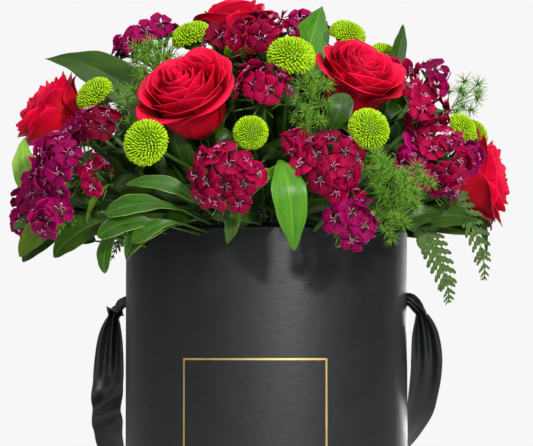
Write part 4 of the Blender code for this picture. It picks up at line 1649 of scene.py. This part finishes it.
class FLOWERBOX_OT_stage(bpy.types.Operator):
    """Build the floor, the lights and the camera"""

    bl_idname = "flower_box.stage"
    bl_label = "Stage"

    def execute(self, context):
        stage = context.scene.flower_box_stage
        scene = context.scene
        bm = bmesh.new()
        bmesh.ops.create_circle(bm, cap_ends=True, segments=128, radius=2.4)
        bmesh.ops.transform(bm, matrix=Matrix.Translation((0, 0, -0.0006)), verts=bm.verts)
        floor = scene_object("floor", mesh_from("floor", bm))

        def build(nodes):
            grain = nodes.group(grain_group(),
                                {"Vector": nodes.here(), "Coarse": 6.0, "Fine": 300.0})
            pale, paler = tone(234, 234, 234), tone(243, 243, 243)
            nodes.shade("Base Color", nodes.mix(grain["Value"], pale, paler))

        floor.data.materials.append(material("floor_finish", build, Roughness=0.7))

        world = bpy.data.worlds.new("pale room")
        world.use_nodes = True
        nodes = Nodes(world.node_tree)
        shown = world.node_tree.nodes["Background"]
        shown.inputs["Color"].default_value = (*tone(247, 247, 247), 1)
        way = nodes.parts(nodes.add("TexCoord").outputs["Generated"])
        behind = nodes.ramp(way[1], 0.35, 1.0, 0.05, 0.70)
        above = nodes.ramp(way[2], 0.0, 0.9, 0.0, 0.30)
        strength = nodes.plus(behind, above)
        light = nodes.add("Background", {"Color": tone(240, 243, 247), "Strength": strength})
        path = nodes.add("LightPath").outputs["Is Camera Ray"]
        both = nodes.add("MixShader", {0: path})
        world.node_tree.links.new(light.outputs[0], both.inputs[1])
        world.node_tree.links.new(shown.outputs[0], both.inputs[2])
        world.node_tree.links.new(both.outputs[0],
                                  world.node_tree.nodes["World Output"].inputs["Surface"])
        scene.world = world

        def softbox(name, azimuth, elevation, away, wide, tall, power, colour, aim):
            lamp = bpy.data.lights.new(name, "AREA")
            lamp.shape = "RECTANGLE"
            lamp.size, lamp.size_y, lamp.energy, lamp.color = wide, tall, power, colour
            obj = scene_object(name, lamp)
            aim = Vector(aim)
            obj.location = aim + away * outward(radians(azimuth), radians(elevation))
            obj.rotation_euler = (aim - obj.location).to_track_quat("-Z", "Y").to_euler()

        middle = (0, 0, 0.25)
        softbox("key light", 24, 19, 2.2, 0.18, 0.18, stage.key_power, (0.96, 0.98, 1.0), middle)
        softbox("front fill", 4, 14, 2.6, 1.9, 0.9, stage.front_power, (0.93, 0.97, 1.0), middle)
        softbox("top light", 10, 72, 1.9, 1.6, 1.6, stage.top_power, (0.97, 0.99, 1.0), middle)
        softbox("edge light", 160, -2, 2.0, 0.5, 0.4, stage.edge_power, (1.0, 0.99, 0.95),
                (0, 0, 0.1))
        softbox("left fill", -60, 35, 2.2, 1.0, 1.2, stage.left_power, (0.95, 0.98, 1.0), middle)

        camera = bpy.data.cameras.new("camera")
        camera.lens = stage.lens
        camera.sensor_width = 36
        eye = scene_object("camera", camera)
        away, turn = stage.camera_away, stage.camera_turn
        eye.location = (away * sin(turn), -away * cos(turn), stage.camera_height)
        aim = Vector((0, 0, stage.aim_height)) - eye.location
        eye.rotation_euler = aim.to_track_quat("-Z", "Y").to_euler()
        scene.camera = eye
        scene.view_settings.view_transform = "Standard"
        return {"FINISHED"}


class FLOWERBOX_PT_pieces(bpy.types.Panel):
    """Lists the pieces of the flower box and their sizes and looks"""

    bl_idname = "FLOWERBOX_PT_pieces"
    bl_label = "Flower box"
    bl_space_type = "VIEW_3D"
    bl_region_type = "UI"
    bl_category = "Flower box"

    def draw(self, context):
        for operator in OPERATORS:
            self.layout.operator(operator.bl_idname)
        for name, group in GROUPS.items():
            box = self.layout.box()
            for value in group.__annotations__:
                box.prop(getattr(context.scene, name), value)


OPERATORS = (
    FLOWERBOX_OT_stage,
    FLOWERBOX_OT_ribbon,
    FLOWERBOX_OT_papers,
    FLOWERBOX_OT_foil,
    FLOWERBOX_OT_film_and_foam,
    FLOWERBOX_OT_roses,
    FLOWERBOX_OT_buttons,
    FLOWERBOX_OT_williams,
    FLOWERBOX_OT_leaves,
    FLOWERBOX_OT_ferns,
    FLOWERBOX_OT_sprigs,
    FLOWERBOX_OT_filler,
)
GROUPS = {
    "flower_box_sizes": FlowerBoxSizes,
    "flower_box_looks": FlowerBoxLooks,
    "flower_box_stage": FlowerBoxStage,
}


def register():
    for cls in (*GROUPS.values(), *OPERATORS, FLOWERBOX_PT_pieces):
        bpy.utils.register_class(cls)
    for name, group in GROUPS.items():
        setattr(bpy.types.Scene, name, bpy.props.PointerProperty(type=group))


def unregister():
    for name in GROUPS:
        delattr(bpy.types.Scene, name)
    for cls in (FLOWERBOX_PT_pieces, *reversed(OPERATORS), *reversed(GROUPS.values())):
        bpy.utils.unregister_class(cls)


def main():
    register()
    for operator in OPERATORS:
        group, name = operator.bl_idname.split(".")
        getattr(getattr(bpy.ops, group), name)()


if __name__ == "__main__":
    main()
